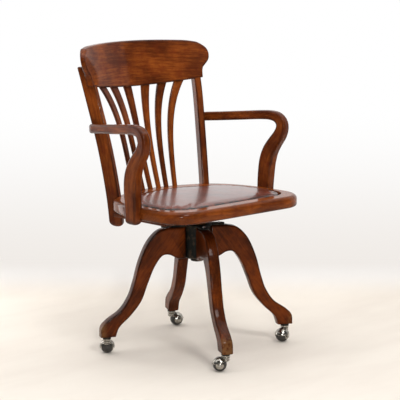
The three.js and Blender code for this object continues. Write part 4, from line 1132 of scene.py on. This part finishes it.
def ball_patch(keep):
    """Part of the hollow dome: a ball cut by planes (point, outward normal), then given its wall."""
    form = bmesh.new()
    bmesh.ops.create_uvsphere(form, u_segments=96, v_segments=64, radius=HOOD_OUTER)
    for point, normal in keep:
        bmesh.ops.bisect_plane(form, geom=form.verts[:] + form.edges[:] + form.faces[:], dist=1e-4,
                               plane_co=point, plane_no=normal, clear_outer=True)
    bmesh.ops.recalc_face_normals(form, faces=form.faces)
    if sum(face.normal.dot(face.calc_center_median()) for face in form.faces) < 0:
        bmesh.ops.reverse_faces(form, faces=form.faces)
    bmesh.ops.solidify(form, geom=form.faces[:], thickness=HOOD_OUTER - HOOD_INNER)
    bmesh.ops.recalc_face_normals(form, faces=form.faces)
    return form


def hood():
    tilt = Matrix.Rotation(math.radians(HOOD_TILT), 3, "Y")
    up = tilt @ Vector((0, 0, 1))
    ends = [Vector((1, 0, 0)), Vector((-1, 0, 0))]
    angles = [math.radians(degrees) for degrees in range(-75, 76, 15)]
    below = [Vector((math.sin(angle), 0, -math.cos(angle))) for angle in angles]
    cheeks = []
    for side in (-1, 1):
        cheeks.append(ball_patch([(normal * CHEEK_HALF, normal) for normal in ends]
                                 + [(up * CHEEK_TOP, up), ((0, side * CHEEK_FROM, 0), Vector((0, -side, 0)))]
                                 + [(normal * CHEEK_HALF, normal) for normal in below]))
    rim = math.sqrt(BEAD_BALL ** 2 - HOOD_CUT ** 2)
    bead = turned([(rim + BEAD * math.cos(step * math.tau / 12), BEAD * math.sin(step * math.tau / 12))
                   for step in range(12)], 72, closed=True)
    moved(bead, tilt.to_4x4() @ Matrix.Translation((0, 0, BEAD_RISE)))
    low, high = NECK_BOTTOM - WHEEL, HORN_TOP - WHEEL
    neck = turned([(0, low + 2), (6.9, low), (10.4, low + 3), (11.5, low + 4.2), (11.5, low + 6),
                   (9.6, low + 7), (9.6, low + 8.2), (11.5, low + 9), (11.5, high - 2.6), (10, high - 2),
                   (10, high - 1.2), (11.2, high - 0.8), (11.2, high), (0, high)])
    return joined(ball_patch([(up * HOOD_CUT, -up)]), *cheeks, bead,
                  moved(ease(neck, 0.5), Matrix.Translation((-TRAIL, 0, 0))))


print("hood wall:", round(HOOD_OUTER - HOOD_INNER, 2), "mm")

# %% Wheel, axle, stem and socket
AXLE_HALF, AXLE_RADIUS, STEM_RADIUS, COLLAR_WIDTH, STEM_TOP, STEM_BOTTOM = 21.5, 2.5, 4.6, 12.2, 83.8, 37.5
SOCKET_BORE, SOCKET_FLANGE, SOCKET_TUBE, SOCKET_TOP, SOCKET_FLANGE_RISE = 4.9, 12.5, 6.7, 84.1, 4.7
TYRE_SIDE, TYRE_FLAT = 15.2, 3


def arc_profile(radius, start, end, count):
    """Pairs on a ball of a radius, from height start to height end."""
    heights = [mix(start, end, share) for share in shares(count)]
    return [(math.sqrt(max(radius ** 2 - height ** 2, 0)), height) for height in heights]


def core():
    """A small domed cap on each side of the wheel, and the tube between them."""
    cap = [(2.8, 17.5), (5.5, 17.6), (8.0, 17.2), (10.0, 16.4), (11.2, 15.5), (11.6, 14.9), (10.4, 14.6)]
    profile = [(radius, -height) for radius, height in cap] + cap[::-1]
    return ease(turned(profile, 48, True, "Y"), 0.4)


def tyre():
    """Almost a ball: a little flat where it rolls, hollow at the sides where the caps sit."""
    half = [(10.8, 13.8), (11.2, 15.0)] + arc_profile(WHEEL, TYRE_SIDE, TYRE_FLAT, 12) + [(WHEEL, 1)]
    return turned([(radius, -height) for radius, height in half] + half[::-1], 64, True, "Y")


def axle():
    half = [(0, AXLE_HALF), (AXLE_RADIUS - 0.7, AXLE_HALF), (AXLE_RADIUS, AXLE_HALF - 0.7)]
    return turned([(radius, -height) for radius, height in half] + half[::-1], 24, axis="Y")


def stem():
    low = HORN_TOP + GAP
    return ease(turned([(0, STEM_BOTTOM), (STEM_RADIUS, STEM_BOTTOM), (STEM_RADIUS, low), (COLLAR_WIDTH, low),
                        (COLLAR_WIDTH, low + COLLAR), (STEM_RADIUS, low + COLLAR), (STEM_RADIUS, 79),
                        (STEM_RADIUS / 2, STEM_TOP), (0, STEM_TOP)], 40), 0.6)


def socket():
    low = HORN_TOP + GAP + COLLAR + GAP
    return ease(turned([(SOCKET_BORE, low), (SOCKET_FLANGE, low), (SOCKET_FLANGE, low + SOCKET_FLANGE_RISE),
                        (SOCKET_TUBE, low + SOCKET_FLANGE_RISE), (SOCKET_TUBE, SOCKET_TOP),
                        (SOCKET_BORE, SOCKET_TOP)], 40, closed=True), 0.5)


for number in range(1, 5):
    # out along the leg, then turned to the caster's own heading
    stand = (turned_by(leg_turn(number)) @ Matrix.Translation((FOOT_RADIUS, 0, 0))
             @ turned_by(HEADINGS[number - 1] - leg_turn(number)))
    hang = stand @ Matrix.Translation((TRAIL, 0, WHEEL))
    caster, wheel = f"caster_{number}", f"wheel_{number}"
    for name, form, spot, body, node, material, slot in (
            ("chrome_hood", hood(), hang, caster, "caster_hood", CHROME, "chrome"),
            ("cross_axle", axle(), hang, caster, "caster_axle", STEEL, "steel"),
            ("wheel_caps", core(), hang, wheel, "caster_core", CHROME, "chrome"),
            ("ball_tyre", tyre(), hang, wheel, "caster_tyre", RUBBER, "rubber"),
            ("swing_stem", stem(), stand, caster, "caster_stem", CHROME, "chrome"),
            ("foot_socket", socket(), stand, "base", "caster_socket", IRON, "iron")):
        place(f"{name}_{number}", moved(form, spot), body, [f"{node}_{number}"], material)
print("pieces so far:", len(PIECES))

# %% [markdown]
# ## Floor, wall and light
#
# The chair stands on a cream floor that runs into white paper. One sheet is both: it bends up behind the
# chair, and from behind it can be looked through. More light could make the paper white, but it would bleach
# the chair too. So the paper glows only for the camera and in reflections, by Light Path, and the floor keeps
# the chair's shadow.
#
# Varnished wood lives from what it reflects. Wide lamps in front and above give the level, a lamp and a
# narrow card on the left of the picture give the long streaks, and a small umbrella gives the bright edges.

# %% Floor and wall
SHEET_REACH, SHEET_HEIGHT, SHEET_BACK, SHEET_BEND = 6, 5, 0.78, 0.2


def backdrop():
    """Floor and wall in one sheet: a line is extruded sideways, across the camera's view."""
    bend = [(SHEET_BACK - SHEET_BEND * drop, SHEET_BEND * rise) for rise, drop in over_edge(shares(12))]
    form = bmesh.new()
    spots = [form.verts.new((-SHEET_REACH, y, z))
             for y, z in [(-SHEET_REACH, 0), *bend, (SHEET_BACK, SHEET_HEIGHT)]]
    strip = [form.edges.new(pair) for pair in zip(spots, spots[1:])]
    made = bmesh.ops.extrude_edge_only(form, edges=strip)["geom"]
    bmesh.ops.translate(form, verts=[item for item in made if isinstance(item, bmesh.types.BMVert)],
                        vec=(2 * SHEET_REACH, 0, 0))
    bmesh.ops.rotate(form, verts=form.verts, matrix=Matrix.Rotation(math.radians(CAMERA_TURN), 3, "Z"))
    bmesh.ops.recalc_face_normals(form, faces=form.faces)
    form.normal_update()
    if sum(face.normal.z for face in form.faces) < 0:
        bmesh.ops.reverse_faces(form, faces=form.faces)
    mesh = bpy.data.meshes.new("backdrop")
    form.to_mesh(mesh)
    form.free()
    mesh.shade_smooth()
    sheet = bpy.data.objects.new("backdrop", mesh)
    bpy.context.scene.collection.objects.link(sheet)
    return sheet


def backdrop_finish():
    """Cream floor that turns into white paper with height and, for the camera, with distance."""
    finish = Finish("painted_backdrop")
    here = finish.place()
    rise, far = here.height(), here.length()
    cloud = finish.noise(here, 1.6, 3, 0.5)
    streak = finish.noise(here.stretched(0.3, 1, 1), 7, 4, 0.6)
    dirt = (cloud * 0.5 + streak * 0.5).between(0.4, 0.7)
    floor = finish.blend(dirt * 0.6, colour(237, 229, 218), colour(224, 214, 203))
    wall = finish.blend(dirt * 0.3, colour(244, 243, 242), colour(236, 235, 234))
    paint = finish.set(base_color=finish.blend(rise.between(0.0, 0.08), floor, wall), roughness=0.6,
                       specular_ior_level=0.3)
    paper, away = rise.between(0.004, 0.1), far.between(1.3, 2.3)
    seen = (finish.node("ShaderNodeLightPath", {}, {}, "Is Camera Ray") * (paper + away * (1 - paper))
            + finish.node("ShaderNodeLightPath", {}, {}, "Is Glossy Ray") * paper)
    # the glow is greyer low down and near the chair: painted shade at the foot of the paper
    white = finish.node("ShaderNodeEmission", {}, {
        "Color": finish.blend(rise.between(0.02, 0.62) + far.between(1.8, 3.2), colour(240, 235, 230),
                              (1, 1, 1, 1))})
    painted = Wire(finish, finish.shader.outputs[0])
    front = finish.node("ShaderNodeMixShader", {}, {0: seen, 1: painted, 2: white})
    from_behind = finish.node("ShaderNodeNewGeometry", {}, {}, "Backfacing")
    clear = finish.node("ShaderNodeBsdfTransparent", {}, {})
    finish.plug(finish.tree.nodes["Material Output"].inputs["Surface"],
                finish.node("ShaderNodeMixShader", {}, {0: from_behind, 1: front, 2: clear}))
    return paint


sheet = backdrop()
sheet.data.materials.append(backdrop_finish())
print("backdrop:", len(sheet.data.polygons), "faces")

# %% Lamps and room
LAMPS = {  # place, what it points at, size, power
    "left": ((-2.6, 1.2, 2.6), (0, 0, 0.5), (1.6, 1.6), 12),
    "card": ((-0.4, 1.28, 0.45), (0.1, 0.1, 0.4), (0.3, 1.1), 4),
    "umbrella": ((-2.7, -3.3, 1.25), (0, 0, 0.45), (0.4, 0.3), 48),
    "front": ((-0.9, -3.0, 3.4), (0, 0.3, 0.3), (1.0, 1.0), 62),
    "ceiling": ((0.2, 0.1, 3.2), (0, 0, 0), (3.6, 3.6), 100),
}
ROOM_GLOW = 0.05  # the world's light on the chair, where the camera sees 1


def softbox(name, location, target, size, power):
    data = bpy.data.lights.new(name, "AREA")
    data.shape = "RECTANGLE"
    data.size, data.size_y = size
    data.energy = power
    lamp = bpy.data.objects.new(name, data)
    lamp.location = location
    lamp.rotation_euler = (Vector(target) - Vector(location)).to_track_quat("-Z", "Y").to_euler()
    lamp.visible_camera = False
    bpy.context.scene.collection.objects.link(lamp)


for name, settings in LAMPS.items():
    softbox(name, *settings)
world = bpy.data.worlds.new("room")
world.use_nodes = True
graph = Graph(world.node_tree)
seen = graph.node("ShaderNodeLightPath", {}, {}, "Is Camera Ray")
sky = world.node_tree.nodes["Background"]
graph.plug(sky.inputs["Strength"], graph.node("ShaderNodeMapRange", {}, {"Value": seen, "To Min": ROOM_GLOW}))
graph.plug(sky.inputs["Color"], (1, 1, 1, 1))
bpy.context.scene.world = world
bpy.context.scene.view_settings.view_transform = "Standard"
print("lamps:", sorted(LAMPS))
